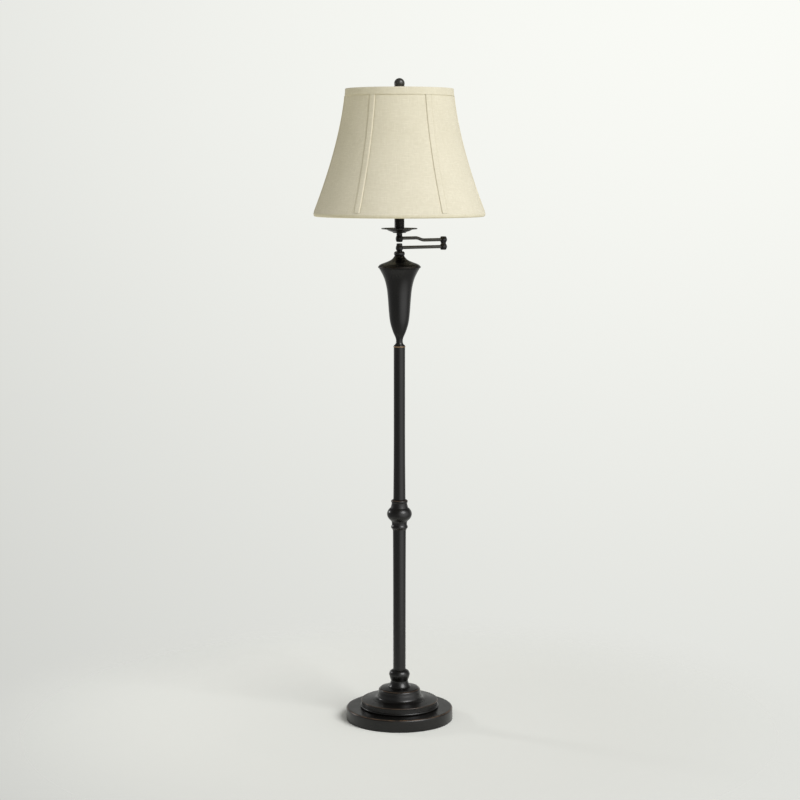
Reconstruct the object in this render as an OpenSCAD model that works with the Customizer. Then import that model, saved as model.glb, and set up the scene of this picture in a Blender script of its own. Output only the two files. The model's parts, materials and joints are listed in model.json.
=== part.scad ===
// Swing arm floor lamp with a stepped round base, an urn under folding arms
// and a bell shaped cloth shade. Millimetres, +Z up, origin on the floor
// under the pole. The arms fold along +X and the cord inlet faces +Y.

/* [Base] */
// Outer radius of the round base
base_r = 129.4; // [118:0.2:150]
// Height of the base disc above the floor
base_disc_h = 30; // [26:0.5:36]
// Radius of the rounded top edge of the disc
base_edge_r = 4; // [2:0.5:6]
// Wall of the spun base cover
cover_wall = 1.5; // [1:0.1:2.5]
// Gap between the floor and the rim of the cover
rim_gap = 0.6; // [0.3:0.1:1]
// Thickness of the felt pad
pad_t = 1.6; // [1.2:0.1:2.4]
// Radius of the cast weight
weight_r = 110; // [90:1:114]
// Thickness of the weight over the nut recess
weight_web_t = 7; // [5:0.5:9]
// Radius of the nut recess under the weight
weight_recess_r = 34; // [24:1:50]
// Radius of the widest bead of the middle tier
tier_bead_r = 95.1; // [88:0.1:104]
// Height of the bead of the middle tier
tier_bead_h = 5.8; // [4:0.2:10]
// Radius of the rim of the middle tier
tier_rim_r = 93.2; // [88:0.1:102]
// Height of the rim of the middle tier above the disc
tier_rim_h = 17.9; // [16:0.1:22]
// Rise of the top of the middle tier from its rim to the crown
tier_rise = 2.4; // [1:0.1:3]
// Radius of the foot of the crown
crown_foot_r = 66; // [60:0.5:72]
// Radius of the nose of the crown
crown_nose_r = 50.5; // [47:0.1:54]
// Height of the crown
crown_h = 29.2; // [26:0.2:34]

/* [Foot collar] */
// Height of the foot collar
collar_h = 42; // [36:0.5:50]
// Widest radius of the foot collar
collar_r = 25.1; // [23:0.1:28]
// Depth to which the pole enters the foot collar
collar_socket = 21.5; // [16:0.5:26]

/* [Poles] */
// Outer radius of the lower pole
lower_pole_r = 15.25; // [14.5:0.05:16]
// Outer radius of the lower pole at the knuckle
lower_pole_end_r = 15.85; // [15.3:0.05:16.4]
// Visible length of the lower pole
lower_pole_len = 345; // [280:1:400]
// Outer radius of the upper pole
upper_pole_r = 13.65; // [13:0.05:14.4]
// Outer radius of the upper pole at the knuckle
upper_pole_end_r = 14.75; // [13.8:0.05:15.2]
// Visible length of the upper pole
upper_pole_len = 367.5; // [300:1:420]
// Length over which a pole flares towards the knuckle
flare_len = 190; // [120:5:250]
// Wall of the pole tubes
pole_wall = 1.2; // [1:0.1:1.8]
// Length of the threaded plugs in the pole ends
plug_len = 16; // [10:0.5:17]
// Height of the ring on top of the upper pole
pole_ring_h = 3.5; // [2.5:0.1:5]

/* [Knuckle] */
// Height of the knuckle between the poles
knuckle_h = 74.5; // [70:0.5:84]
// Radius of the ball of the knuckle
knuckle_ball_r = 30; // [27:0.2:34]
// Half height of the ball if it ran to its poles
knuckle_ball_half = 22; // [20:0.2:24]
// Depth of the pole sockets in the knuckle
knuckle_socket = 12; // [8:0.5:14]

/* [Threaded pipe] */
// Outer radius of the threaded pipe
pipe_r = 4.85; // [4.7:0.05:5.1]
// Bore radius of the threaded pipe
pipe_bore_r = 3.3; // [3:0.05:3.6]
// Outer radius of the rod through the urn, also the pivot spindle
rod_r = 3.6; // [3.4:0.05:4]
// Bore radius of the rod and of the elbow bolt
rod_bore_r = 2.4; // [2.3:0.05:2.6]
// Radius of the lamp wire
wire_r = 1.9; // [1.6:0.05:2]
// Clearance round a pipe or a plug in its hole
fit_gap = 0.05; // [0.02:0.01:0.1]
// Height of the locknut of the base
locknut_h = 4; // [3:0.2:5]
// Thickness of the flange of the locknut
locknut_flange_t = 1.4; // [1:0.1:2]

/* [Urn] */
// Height of the urn neck
urn_neck_h = 13; // [11:0.2:16]
// Radius of the urn neck at its foot
urn_neck_r = 13.6; // [12.5:0.1:14]
// Radius of the waist of the urn
urn_waist_r = 8; // [7.4:0.1:9]
// Height of the urn
urn_h = 171; // [150:1:190]
// Radius of the urn at its mouth
urn_mouth_r = 47.6; // [44:0.2:52]
// Wall of the urn
urn_wall = 1.5; // [1.2:0.1:2.2]
// Height of the urn cap
urn_cap_h = 31; // [27:0.5:35]
// Radius of the lip of the urn cap
urn_lip_r = 50.9; // [49:0.1:56]
// Height of the check ring on the urn cap
check_h = 10.8; // [9:0.2:13]
// Radius of the check ring
check_r = 13; // [12:0.1:15]

/* [Swing arms] */
// Length of each arm between its pivots
arm_len = 122; // [100:1:150]
// Outer radius of the arm tubes
arm_r = 4; // [3.8:0.05:4.3]
// Wall of the arm tubes
arm_wall = 1; // [0.8:0.05:1.1]
// Radius of the hub balls
hub_r = 8.95; // [8.7:0.05:10]
// Radius of the necks of the hubs and of the elbow waist
hub_neck_r = 7; // [6.9:0.05:7.6]
// Radius of the room inside the hubs
hub_room_r = 6; // [5.9:0.05:6.2]
// Height of the pole hub without its cap
hub_h = 16.3; // [14:0.1:18]
// Height of the lower arm above the foot of its hub
hub_arm_z = 7.9; // [7.4:0.1:8.6]
// Thickness of the screw caps on the hubs
hub_cap_t = 1.8; // [1:0.1:2]
// Height of each half of the elbow without its cap
elbow_half_h = 14.2; // [13.6:0.1:16]
// Distance from the elbow joint face to the arm in each half
elbow_arm_z = 8.1; // [7.8:0.1:8.6]
// Rise of the upper arm from the elbow to the candle hub
arm_rise = 5.3; // [3:0.1:8]
// Distance from the pole axis to the inner end of the rise
rise_start = 45; // [30:1:60]
// Length of the rise along the arm
rise_run = 23; // [18:0.5:32]
// Thickness of the washers in the swivels
swivel_washer_t = 0.6; // [0.4:0.1:1]

/* [Drip pan and sleeve] */
// Depth of the candle hub under the upper arm
candle_hub_drop = 8.9; // [8:0.1:9.4]
// Height of the candle hub
candle_hub_h = 18.5; // [18:0.1:22]
// Radius of the drip pan
pan_r = 43; // [36:0.5:50]
// Height of the drip pan
pan_h = 14.4; // [12:0.2:18]
// Wall of the drip pan
pan_wall = 1.4; // [1:0.1:2]
// Outer radius of the candle sleeve
sleeve_r = 11.65; // [11:0.05:12.4]
// Wall of the candle sleeve
sleeve_wall = 0.8; // [0.6:0.1:1.2]
// Length of the candle sleeve
sleeve_len = 66.6; // [55:0.5:80]

/* [Socket and bulb] */
// Thickness of the harp saddle
saddle_t = 1.6; // [1.2:0.1:2]
// Half distance between the legs of the harp at the saddle
saddle_half = 26; // [24:0.5:30]
// Radius of the socket shell
socket_r = 17.2; // [16.8:0.1:18.5]
// Height of the socket cap
socket_cap_h = 14.4; // [12:0.2:17]
// Height of the socket shell
socket_shell_h = 40; // [38:0.5:46]
// Wall of the socket parts
socket_wall = 0.8; // [0.6:0.1:1.2]
// Radius of the bulb's screw base
bulb_base_r = 13.2; // [13:0.05:13.3]
// Largest radius of the bulb
bulb_r = 30; // [28:0.5:34]
// Height of the glass of the bulb
bulb_h = 83; // [76:1:92]
// Radius of the switch knob
knob_r = 5.5; // [4.5:0.1:6.5]
// Length of the switch knob
knob_len = 12; // [9:0.5:16]

/* [Harp and finial] */
// Height of the harp from the saddle to the spider
harp_h = 258.5; // [240:0.5:280]
// Half width of the harp between the centres of its sides
harp_half = 58; // [48:0.5:64]
// Radius of the harp wire
harp_wire_r = 1.9; // [1.6:0.05:2.2]
// Radius of the shoulders of the harp
harp_shoulder_r = 50; // [40:0.5:52]
// Radius of the thread on the harp stud
stud_r = 3.15; // [3:0.05:3.3]
// Radius of the ball of the finial
finial_r = 12.5; // [10:0.1:14]
// Height of the centre of the ball above the spider
finial_ball_z = 22.5; // [20:0.1:26]

/* [Shade] */
// Outer radius of the shade at the top
shade_top_r = 127; // [115:0.5:140]
// Largest outer radius of the shade, at the hem
shade_hem_r = 203.1; // [185:0.1:225]
// Height of the shade
shade_h = 299.1; // [270:0.1:330]
// Depth of the spider under the top of the shade
spider_drop = 10.5; // [7:0.1:14]
// Part of the spread of the shade that is straight
shade_straight = 0.1; // [0:0.05:0.6]
// Power of the curved part of the spread
shade_power = 1.56; // [1.4:0.02:2.2]
// Thickness of the cloth cover
cloth_t = 0.6; // [0.5:0.1:1]
// Thickness of the bands and the seam strips
trim_t = 0.6; // [0.4:0.1:1]
// Diameter of the wires of the shade frame
frame_wire_d = 2.6; // [2.2:0.1:3.2]
// Thickness of the liner
liner_t = 0.5; // [0.4:0.1:0.8]
// Height of the top band
top_band_h = 17.5; // [12:0.5:24]
// Height of the bottom band
bottom_band_h = 11; // [9:0.5:16]
// Radius of the rolled hem
hem_roll_r = 4.2; // [3.6:0.1:5]
// Turn of the seams from the line of the arm, in degrees
seam_turn = 1; // [-5:0.05:5]
// Width of the seam strips
seam_w = 13; // [8:0.5:18]
// Number of panels in the shade
panels = 6; // [5:1:8]

/* [Hidden] */
$fn = 64;
eps = 0.01;

// Heights, stacked from the floor
disc_z = base_disc_h;
crown_z = disc_z + tier_rim_h + tier_rise;
collar_z = crown_z + crown_h;
collar_top = collar_z + collar_h;
lower_pole_z = collar_top - collar_socket;
knuckle_z = collar_top + lower_pole_len;
knuckle_top = knuckle_z + knuckle_h;
lower_pole_top = knuckle_z + knuckle_socket;
upper_pole_z = knuckle_top - knuckle_socket;
upper_pole_top = knuckle_top + upper_pole_len;
urn_neck_z = upper_pole_top + pole_ring_h;
urn_z = urn_neck_z + urn_neck_h;
urn_cap_z = urn_z + urn_h;
check_z = urn_cap_z + urn_cap_h;
pivot_z = check_z + check_h;
hub_z = pivot_z + swivel_washer_t;
lower_arm_z = hub_z + hub_arm_z;
elbow_face_z = lower_arm_z + elbow_arm_z;
elbow_top_face_z = elbow_face_z + swivel_washer_t;
outer_arm_z = elbow_top_face_z + elbow_arm_z;
inner_arm_z = outer_arm_z + arm_rise;
candle_hub_z = inner_arm_z - candle_hub_drop;
pan_z = candle_hub_z + candle_hub_h;
pan_floor_t = 5.4;
sleeve_z = pan_z + pan_floor_t;
saddle_z = sleeve_z + sleeve_len;
socket_z = saddle_z + saddle_t;
spider_z = saddle_z + harp_h;
riser_depth = 4.5;
riser_top = socket_z + 4;
shade_top = spider_z + spider_drop;
shade_bottom = shade_top - shade_h;
hem_z = shade_bottom + hem_roll_r;
shade_levels = 18;
shade_step = (shade_h - 1.75 * hem_roll_r) / shade_levels;

// Inside of the base
nut_seat_z = disc_z - cover_wall - weight_web_t;
locknut_z = nut_seat_z - locknut_flange_t - locknut_h;
nipple_end_z = locknut_z - 1;
bushing_flange_r = 6.5;
bushing_body_r = 5.2;
bushing_bore_r = 3.2;
bushing_flange_t = 1.8;
bushing_len = 7.5;
bushing_z = rim_gap + bushing_flange_r + 1.4;
groove_w = 2 * bushing_body_r + 2;

// Hubs and elbow
hub_wall = 3.6;
nut_corner_r = hub_room_r - 0.25;
pivot_nut_h = 3;
elbow_nut_h = 2.4;
bolt_head_t = 1.8;
running_gap = 0.1;
hub_plug_len = 1.7;

// Socket
screw_shell_bore = bulb_base_r + 0.2;
shell_z = socket_z + socket_cap_h - 2;
switch_z = shell_z + 2;
switch_h = 17;
switch_r = socket_r - 2 * socket_wall - 1;
knob_z = switch_z + 0.5 * switch_h;
knob_shaft_r = 1.7;
knob_shaft_len = 6;
contact_z = switch_z + switch_h;
contact_h = 2.4;
bulb_z = contact_z + contact_h;
bulb_base_h = 25;
glass_z = bulb_z + bulb_base_h;

// Harp
ear_h = 14;
leg_z = saddle_z + ear_h;
flare_angle = 50;
flare_r = (harp_half - saddle_half) / (2 * (1 - cos(flare_angle)));
flare_z = leg_z + 12;
side_z = flare_z + 2 * flare_r * sin(flare_angle);
stud_plate_h = 3.5;
stud_plate_r = 6.5;
harp_top_z = spider_z - stud_plate_h + harp_wire_r * 0.3;
shoulder_z = harp_top_z - harp_shoulder_r;

// Shade frame and cloth, as depths inside the outer face of the shade
skin_gap = 0.05;
cover_depth = trim_t + skin_gap;
rib_depth = cover_depth + cloth_t + skin_gap;
liner_depth = rib_depth + frame_wire_d + skin_gap;
shade_wall = liner_depth + liner_t + skin_gap;
spider_t = 1.5;
spider_hub_r = 12;
arm_wire_r = 1.2;
ring_z = shade_top - trim_t - skin_gap - frame_wire_d / 2;
ring_r = shade_r(ring_z) - rib_depth - frame_wire_d / 2;
hem_ring_r = shade_r(hem_z) - hem_roll_r;

// Points of a smooth curve through the points p, n steps between neighbours
function smooth(p, n = 5) = [
  for (i = [0 : len(p) - 2]) for (k = [0 : n - 1]) blend_at(p, i, k / n),
  p[len(p) - 1]
];
function blend_at(p, i, t) =
  let (
    b = p[i],
    c = p[i + 1],
    a = i > 0 ? p[i - 1] : 2 * b - c,
    d = i < len(p) - 2 ? p[i + 2] : 2 * c - b
  )
  0.5 * (2 * b + (c - a) * t + (2 * a - 5 * b + 4 * c - d) * t * t
    + (3 * b - a - 3 * c + d) * t * t * t);

// Points of an arc, measured from +X towards +Z
function arc(centre, r, from, to, n = 8) = [
  for (k = [0 : n]) let (a = from + (to - from) * k / n)
    centre + r * [cos(a), sin(a)]
];

// Outer radius of the shade at level k, from the top edge down to the upright hem
function shade_level_r(k) = let (t = min(max(k / shade_levels, 0), 1))
  shade_top_r + (shade_hem_r - shade_top_r)
  * (shade_straight * t + (1 - shade_straight) * pow(t, shade_power));

// Outer radius of the shade at height z, straight between its levels
function shade_r(z) = let (
    level = (shade_top - z) / shade_step,
    k = floor(level)
  )
  shade_level_r(k) + (level - k) * (shade_level_r(k + 1) - shade_level_r(k));

module turn(points) {
  rotate_extrude() polygon(points);
}

module bore(r, z0, z1) {
  translate([0, 0, z0]) cylinder(r = r, h = z1 - z0);
}

module ring(r_out, r_in, z0, z1) {
  difference() {
    bore(r_out, z0, z1);
    bore(r_in, z0 - 1, z1 + 1);
  }
}

module hex_nut(corner_r, bore_r, z0, h) {
  difference() {
    translate([0, 0, z0]) cylinder(r = corner_r, h = h, $fn = 6);
    bore(bore_r, z0 - 1, z0 + h + 1);
  }
}

// Straight rod between two points
module rod_between(a, b, r) {
  v = b - a;
  translate(a) rotate([0, acos(v[2] / norm(v)), atan2(v[1], v[0])]) cylinder(r = r, h = norm(v));
}

// Wire along a chain of points, with a ball at each bend
module wire_run(points) {
  for (i = [0 : len(points) - 2]) rod_between(points[i], points[i + 1], wire_r);
  for (i = [1 : len(points) - 2]) translate(points[i]) sphere(r = wire_r + 0.04);
}

// Ball that joins two lengths of rod whose ends stop just short of its centre
joint_gap = 0.15;

module joint(p, r) {
  translate(p) sphere(r = r + 0.05);
}

// Part of a torus in the XZ plane about the origin, from one angle to another
module bend(radius, from, to, r) {
  rotate([90, 0, 0]) rotate([0, 0, from]) rotate_extrude(angle = to - from)
    translate([radius, 0]) circle(r = r);
}

// Stand

module base_pad() {
  color("#1c1a18") cylinder(r = base_r - cover_wall - 1, h = pad_t);
}

module base_weight() {
  color("#3a3836") difference() {
    bore(weight_r, pad_t, disc_z - cover_wall);
    bore(weight_recess_r, pad_t - 1, nut_seat_z);
    bore(pipe_r + fit_gap, 0, disc_z);
    translate([-groove_w / 2, 0, pad_t - 1])
      cube([groove_w, weight_r + 1, bushing_z + bushing_body_r - pad_t + 2]);
  }
}

module base_cover() {
  inner_r = base_r - cover_wall;
  inner_edge = max(base_edge_r - cover_wall, 0.5);
  color("#2b2927") difference() {
    turn(concat(
      [[0, rim_gap], [base_r, rim_gap]],
      arc([base_r - base_edge_r, disc_z - base_edge_r], base_edge_r, 0, 90),
      [[0, disc_z]]));
    turn(concat(
      [[0, rim_gap - 1], [inner_r, rim_gap - 1]],
      arc([inner_r - inner_edge, disc_z - cover_wall - inner_edge], inner_edge, 0, 90, 4),
      [[0, disc_z - cover_wall]]));
    bore(pipe_r + fit_gap, 0, disc_z + 1);
    translate([0, base_r + 1, bushing_z]) rotate([90, 0, 0])
      cylinder(r = bushing_body_r + fit_gap, h = cover_wall + 6);
  }
}

module base_tier() {
  bead_half = tier_bead_h / 2;
  wall_r = tier_rim_r - 1.7;
  rim_z = disc_z + tier_rim_h;
  top_t = 2.2;
  color("#2b2927") difference() {
    turn(concat(
      [[0, disc_z], [tier_bead_r - bead_half, disc_z]],
      arc([tier_bead_r - bead_half, disc_z + bead_half], bead_half, -90, 70, 12),
      [[wall_r + 0.2, disc_z + tier_bead_h], [wall_r, rim_z - 3]],
      arc([tier_rim_r - 1.5, rim_z - 1.5], 1.5, -20, 90, 6),
      [[crown_foot_r, crown_z], [0, crown_z]]));
    turn([
      [0, disc_z - 1],
      [tier_bead_r - tier_bead_h, disc_z - 1],
      [wall_r - 3.4, disc_z + bead_half],
      [wall_r - 3.4, rim_z - top_t - 1],
      [crown_foot_r - 6, crown_z - top_t - 0.6],
      [0, crown_z - top_t - 0.6]]);
    bore(pipe_r + fit_gap, disc_z - 1, crown_z + 1);
  }
}

module base_crown() {
  nose_half = 4.6;
  nose_z = crown_z + 0.709 * crown_h;
  color("#2b2927") difference() {
    turn(concat(
      [[0, crown_z]],
      smooth([
        [crown_foot_r, crown_z],
        [crown_nose_r + 12, crown_z + 1.7],
        [crown_nose_r + 8, crown_z + 4.7],
        [crown_nose_r + 4.8, crown_z + 8.6],
        [crown_nose_r + 2.5, crown_z + 12.3],
        [crown_nose_r + 0.8, crown_z + 15.7],
        [crown_nose_r + 0.1, crown_z + 18.6]], 4),
      arc([crown_nose_r - nose_half, nose_z], nose_half, 0, 75, 8),
      [[collar_r + 3, collar_z], [0, collar_z]]));
    turn([
      [0, crown_z - 1],
      [crown_foot_r - 11, crown_z - 1],
      [crown_nose_r - 5, crown_z + 12],
      [crown_nose_r - 8, crown_z + 22],
      [0, crown_z + 22]]);
    bore(pipe_r + fit_gap, crown_z, collar_z + 1);
  }
}

module base_nipple() {
  color("#b08d4f") ring(pipe_r, pipe_bore_r, nipple_end_z, lower_pole_z + plug_len);
}

// Locknut with a broad flange against the weight
module base_locknut() {
  color("#8d8a84") {
    ring(2.9 * pipe_r, pipe_r + fit_gap, nut_seat_z - locknut_flange_t, nut_seat_z);
    hex_nut(1.9 * pipe_r, pipe_r + fit_gap, locknut_z, locknut_h + eps);
  }
}

module cord_bushing() {
  color("#141312") translate([0, base_r, bushing_z]) rotate([-90, 0, 0]) difference() {
    union() {
      cylinder(r = bushing_flange_r, h = bushing_flange_t);
      translate([0, 0, -bushing_len]) cylinder(r = bushing_body_r, h = bushing_len + eps);
    }
    translate([0, 0, -bushing_len - 1]) cylinder(r = bushing_bore_r, h = bushing_len + bushing_flange_t + 2);
  }
}

module foot_collar() {
  z = collar_z;
  h = collar_h;
  mouth_r = lower_pole_r + fit_gap;
  color("#2b2927") difference() {
    turn(concat(
      [[0, z]],
      smooth([
        [collar_r + 2.8, z],
        [collar_r + 1.1, z + 0.05 * h],
        [collar_r - 0.9, z + 0.12 * h],
        [collar_r - 2.6, z + 0.2 * h],
        [collar_r - 3.9, z + 0.28 * h],
        [collar_r - 4.4, z + 0.35 * h],
        [collar_r - 3.4, z + 0.44 * h],
        [collar_r - 0.8, z + 0.62 * h],
        [collar_r, z + 0.73 * h],
        [collar_r - 0.9, z + 0.83 * h],
        [collar_r - 3.4, z + 0.925 * h],
        [collar_r - 7.8, z + 0.985 * h],
        [mouth_r + 0.3, z + h]], 4),
      [[0, z + h]]));
    bore(mouth_r, lower_pole_z, z + h + 1);
    bore(pipe_r + fit_gap, z - 1, z + h);
  }
}

// Pole tube of radius r that stands on its flared end, the one in the knuckle
module pole_tube(r, end_r, length) {
  steps = 10;
  difference() {
    turn(concat(
      [[0, 0], [end_r, 0]],
      [for (k = [0 : steps])
        [r + (end_r - r) * pow(1 - k / steps, 2), knuckle_socket + flare_len * k / steps]],
      [[r, length], [0, length]]));
    bore(r - pole_wall, -1, length + 1);
  }
}

module lower_pole() {
  color("#2b2927") translate([0, 0, lower_pole_top]) mirror([0, 0, 1])
    pole_tube(lower_pole_r, lower_pole_end_r, lower_pole_top - lower_pole_z);
}

module upper_pole() {
  color("#2b2927") translate([0, 0, upper_pole_z])
    pole_tube(upper_pole_r, upper_pole_end_r, upper_pole_top - upper_pole_z);
}

module pole_plugs() {
  lower_r = lower_pole_r - pole_wall - fit_gap;
  upper_r = upper_pole_r - pole_wall - fit_gap;
  color("#8d8a84") {
    ring(lower_r, pipe_r + fit_gap, lower_pole_z, lower_pole_z + plug_len);
    ring(lower_r, pipe_r + fit_gap, lower_pole_top - plug_len, lower_pole_top);
    ring(upper_r, pipe_r + fit_gap, upper_pole_z, upper_pole_z + plug_len);
    ring(upper_r, rod_r + fit_gap, upper_pole_top - plug_len, upper_pole_top);
  }
}

module knuckle() {
  z = knuckle_z;
  top = knuckle_top;
  mid = z + 0.524 * knuckle_h;
  neck_r = lower_pole_end_r + 2.5;
  mouth_r = lower_pole_end_r + fit_gap;
  top_mouth_r = upper_pole_end_r + fit_gap;
  color("#2b2927") difference() {
    turn(concat(
      [[0, z], [mouth_r + 0.4, z]],
      smooth([
        [mouth_r + 0.7, z + 2.6],
        [neck_r + 1, z + 4.6],
        [neck_r + 1.9, z + 7.6],
        [neck_r + 1.1, z + 10],
        [neck_r + 0.05, z + 12.6],
        [neck_r, z + 16.5],
        [neck_r + 0.7, z + 20.5]], 4),
      [for (a = [-46 : 8 : 42]) [knuckle_ball_r * cos(a), mid + knuckle_ball_half * sin(a)]],
      smooth([
        [neck_r + 2.2, top - 20.4],
        [neck_r + 1, top - 15.5],
        [neck_r + 0.35, top - 11.6],
        [neck_r + 0.7, top - 8],
        [neck_r + 1.65, top - 6],
        [neck_r + 1.6, top - 3],
        [neck_r - 0.8, top - 0.9],
        [top_mouth_r + 0.5, top]], 4),
      [[0, top]]));
    bore(mouth_r, z - 1, z + knuckle_socket);
    bore(top_mouth_r, top - knuckle_socket, top + 1);
    bore(pipe_r + fit_gap, z, top);
  }
}

module knuckle_nipple() {
  color("#b08d4f") ring(pipe_r, pipe_bore_r, lower_pole_top - plug_len, upper_pole_z + plug_len);
}

module pole_ring() {
  z = upper_pole_top;
  color("#7a5236") difference() {
    turn(concat(
      [[0, z], [upper_pole_r, z]],
      arc([upper_pole_r - 0.9, z + pole_ring_h / 2], pole_ring_h / 2, -60, 60, 6),
      [[upper_pole_r - 0.4, z + pole_ring_h], [0, z + pole_ring_h]]));
    bore(rod_r + fit_gap, z - 1, z + pole_ring_h + 1);
  }
}

module urn_neck() {
  z = urn_neck_z;
  h = urn_neck_h;
  drop = urn_neck_r - urn_waist_r;
  color("#2b2927") difference() {
    turn(concat(
      [[0, z], [urn_neck_r - 0.5, z]],
      smooth([
        [urn_neck_r, z + 0.06 * h],
        [urn_neck_r - 0.14 * drop, z + 0.15 * h],
        [urn_neck_r - 0.5 * drop, z + 0.27 * h],
        [urn_neck_r - 0.78 * drop, z + 0.45 * h],
        [urn_neck_r - 0.94 * drop, z + 0.65 * h],
        [urn_waist_r, z + h]], 4),
      [[0, z + h]]));
    bore(rod_r + fit_gap, z - 1, z + h + 1);
  }
}

// Side of the urn: share of its height and share of its spread at each point
urn_side = [
  [0, 0], [0.041, 0.038], [0.112, 0.172], [0.196, 0.295], [0.28, 0.376], [0.41, 0.437],
  [0.585, 0.492], [0.725, 0.558], [0.836, 0.667], [0.92, 0.813], [1, 1]
];

module urn() {
  spread = urn_mouth_r - urn_waist_r;
  side = smooth([for (s = urn_side) [urn_waist_r + s[1] * spread, urn_z + s[0] * urn_h]], 4);
  inner = [for (p = side) if (p[1] > urn_z + 0.16 * urn_h) [p[0] - urn_wall, p[1]]];
  color("#2b2927") difference() {
    turn(concat([[0, urn_z]], side, [[0, urn_cap_z]]));
    turn(concat([[0, inner[0][1]]], inner, [[urn_mouth_r - urn_wall, urn_cap_z + 1], [0, urn_cap_z + 1]]));
    bore(rod_r + fit_gap, urn_z - 1, urn_cap_z);
  }
}

module urn_cap() {
  z = urn_cap_z;
  h = urn_cap_h;
  lip_half = 2.7;
  foot_r = urn_mouth_r;
  color("#2b2927") difference() {
    turn(concat(
      [[0, z], [foot_r, z]],
      arc([urn_lip_r - lip_half, z + lip_half + 1.6], lip_half, -80, 75, 10),
      smooth([
        [urn_lip_r - 4, z + 0.31 * h],
        [urn_lip_r - 5.4, z + 0.34 * h],
        [0.8 * urn_lip_r, z + 0.4 * h],
        [0.55 * urn_lip_r, z + 0.555 * h],
        [0.37 * urn_lip_r, z + 0.71 * h],
        [0.28 * urn_lip_r, z + 0.86 * h],
        [check_r - 1.2, z + h]], 4),
      [[0, z + h]]));
    turn([
      [0, z - 1],
      [foot_r - 2.2, z - 1],
      [foot_r - 2.2, z + 0.2 * h],
      [0.6 * urn_lip_r, z + 0.4 * h],
      [0.28 * urn_lip_r, z + 0.58 * h],
      [0, z + 0.58 * h]]);
    bore(rod_r + fit_gap, z, z + h + 1);
  }
}

module check_ring() {
  z = check_z;
  h = check_h;
  color("#2b2927") difference() {
    turn(concat(
      [[0, z]],
      smooth([
        [check_r - 1.4, z],
        [check_r - 0.3, z + 0.28 * h],
        [check_r, z + 0.5 * h],
        [check_r - 0.6, z + 0.72 * h],
        [check_r - 2.8, z + 0.93 * h],
        [check_r - 5.4, z + h]], 4),
      [[0, z + h]]));
    bore(rod_r + fit_gap, z - 1, z + h + 1);
  }
}

// Threaded rod through the urn; its top is the spindle of the pole hub
rod_z = upper_pole_top - plug_len;
rod_top = hub_z + hub_wall + pivot_nut_h + 0.4;

module urn_rod() {
  color("#b08d4f") ring(rod_r, rod_bore_r, rod_z, rod_top);
}

module pivot_washer() {
  color("#141312") ring(hub_neck_r - 0.6, rod_r + fit_gap, pivot_z, hub_z);
}

module pivot_nut() {
  color("#8d8a84") hex_nut(nut_corner_r, rod_r + fit_gap, hub_z + hub_wall + running_gap, pivot_nut_h);
}

module pole_wire() {
  start_y = base_r - cover_wall - bushing_len - 4;
  color("#5b4a34") wire_run([
    [0, start_y, bushing_z],
    [0, 4, bushing_z],
    [0, 0, bushing_z + 3],
    [0, 0, rod_top - 2]]);
}

// Lower arm

module pole_hub() {
  z = hub_z;
  color("#2b2927") difference() {
    turn(concat(
      [[0, z]],
      smooth([
        [hub_neck_r - 0.4, z],
        [hub_neck_r, z + 1],
        [hub_r - 0.75, z + 3.5],
        [hub_r, z + 6.9],
        [hub_r - 0.45, z + 9.3],
        [hub_r - 1.25, z + 11.7],
        [hub_neck_r + 0.1, z + 13.6],
        [hub_neck_r, z + hub_h]], 4),
      [[0, z + hub_h]]));
    bore(rod_r + fit_gap, z - 1, z + hub_h);
    bore(hub_room_r, z + hub_wall, z + hub_h + 1);
    translate([0, 0, lower_arm_z]) rotate([0, 90, 0]) cylinder(r = arm_r + fit_gap, h = hub_r + 2);
  }
}

module hub_cap(z, up) {
  mirror([0, 0, up ? 0 : 1]) translate([0, 0, up ? z : -z]) {
    turn([
      [0, 0],
      [hub_neck_r, 0],
      [hub_neck_r - 0.1, 0.3 * hub_cap_t],
      [hub_neck_r - 0.8, 0.7 * hub_cap_t],
      [hub_neck_r - 2.1, hub_cap_t],
      [0, hub_cap_t]]);
    translate([0, 0, -hub_plug_len]) cylinder(r = hub_room_r - fit_gap, h = hub_plug_len + eps);
  }
}

// Screw caps over the two nuts of the lower arm
module lower_hub_caps() {
  color("#2b2927") {
    hub_cap(hub_z + hub_h, true);
    translate([arm_len, 0, 0]) hub_cap(elbow_face_z - elbow_half_h, false);
  }
}

module lower_arm() {
  color("#2b2927") translate([0, 0, lower_arm_z]) rotate([0, 90, 0])
    ring(arm_r, arm_r - arm_wall, hub_room_r + 0.2, arm_len - hub_room_r - 0.2);
}

// Half of the elbow with its joint face at height zero, hanging down
module elbow_half() {
  difference() {
    turn(concat(
      [[0, 0]],
      smooth([
        [hub_neck_r - 0.9, 0],
        [hub_neck_r - 0.5, -1.6],
        [hub_r - 1, -4.4],
        [hub_r - 0.1, -6.6],
        [hub_r, -elbow_arm_z],
        [hub_r - 0.2, -9.9],
        [hub_r - 0.9, -12],
        [hub_neck_r, -elbow_half_h]], 4),
      [[0, -elbow_half_h]]));
    bore(rod_r + fit_gap, -elbow_half_h, 1);
    bore(hub_room_r, -elbow_half_h - 1, -hub_wall);
    translate([-hub_r - 2, 0, -elbow_arm_z]) rotate([0, 90, 0]) cylinder(r = arm_r + fit_gap, h = hub_r + 2);
  }
}

module elbow_lower() {
  color("#2b2927") translate([arm_len, 0, elbow_face_z]) elbow_half();
}

module elbow_washer() {
  color("#141312") translate([arm_len, 0, 0])
    ring(hub_neck_r - 1.2, rod_r + fit_gap, elbow_face_z, elbow_top_face_z);
}

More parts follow.
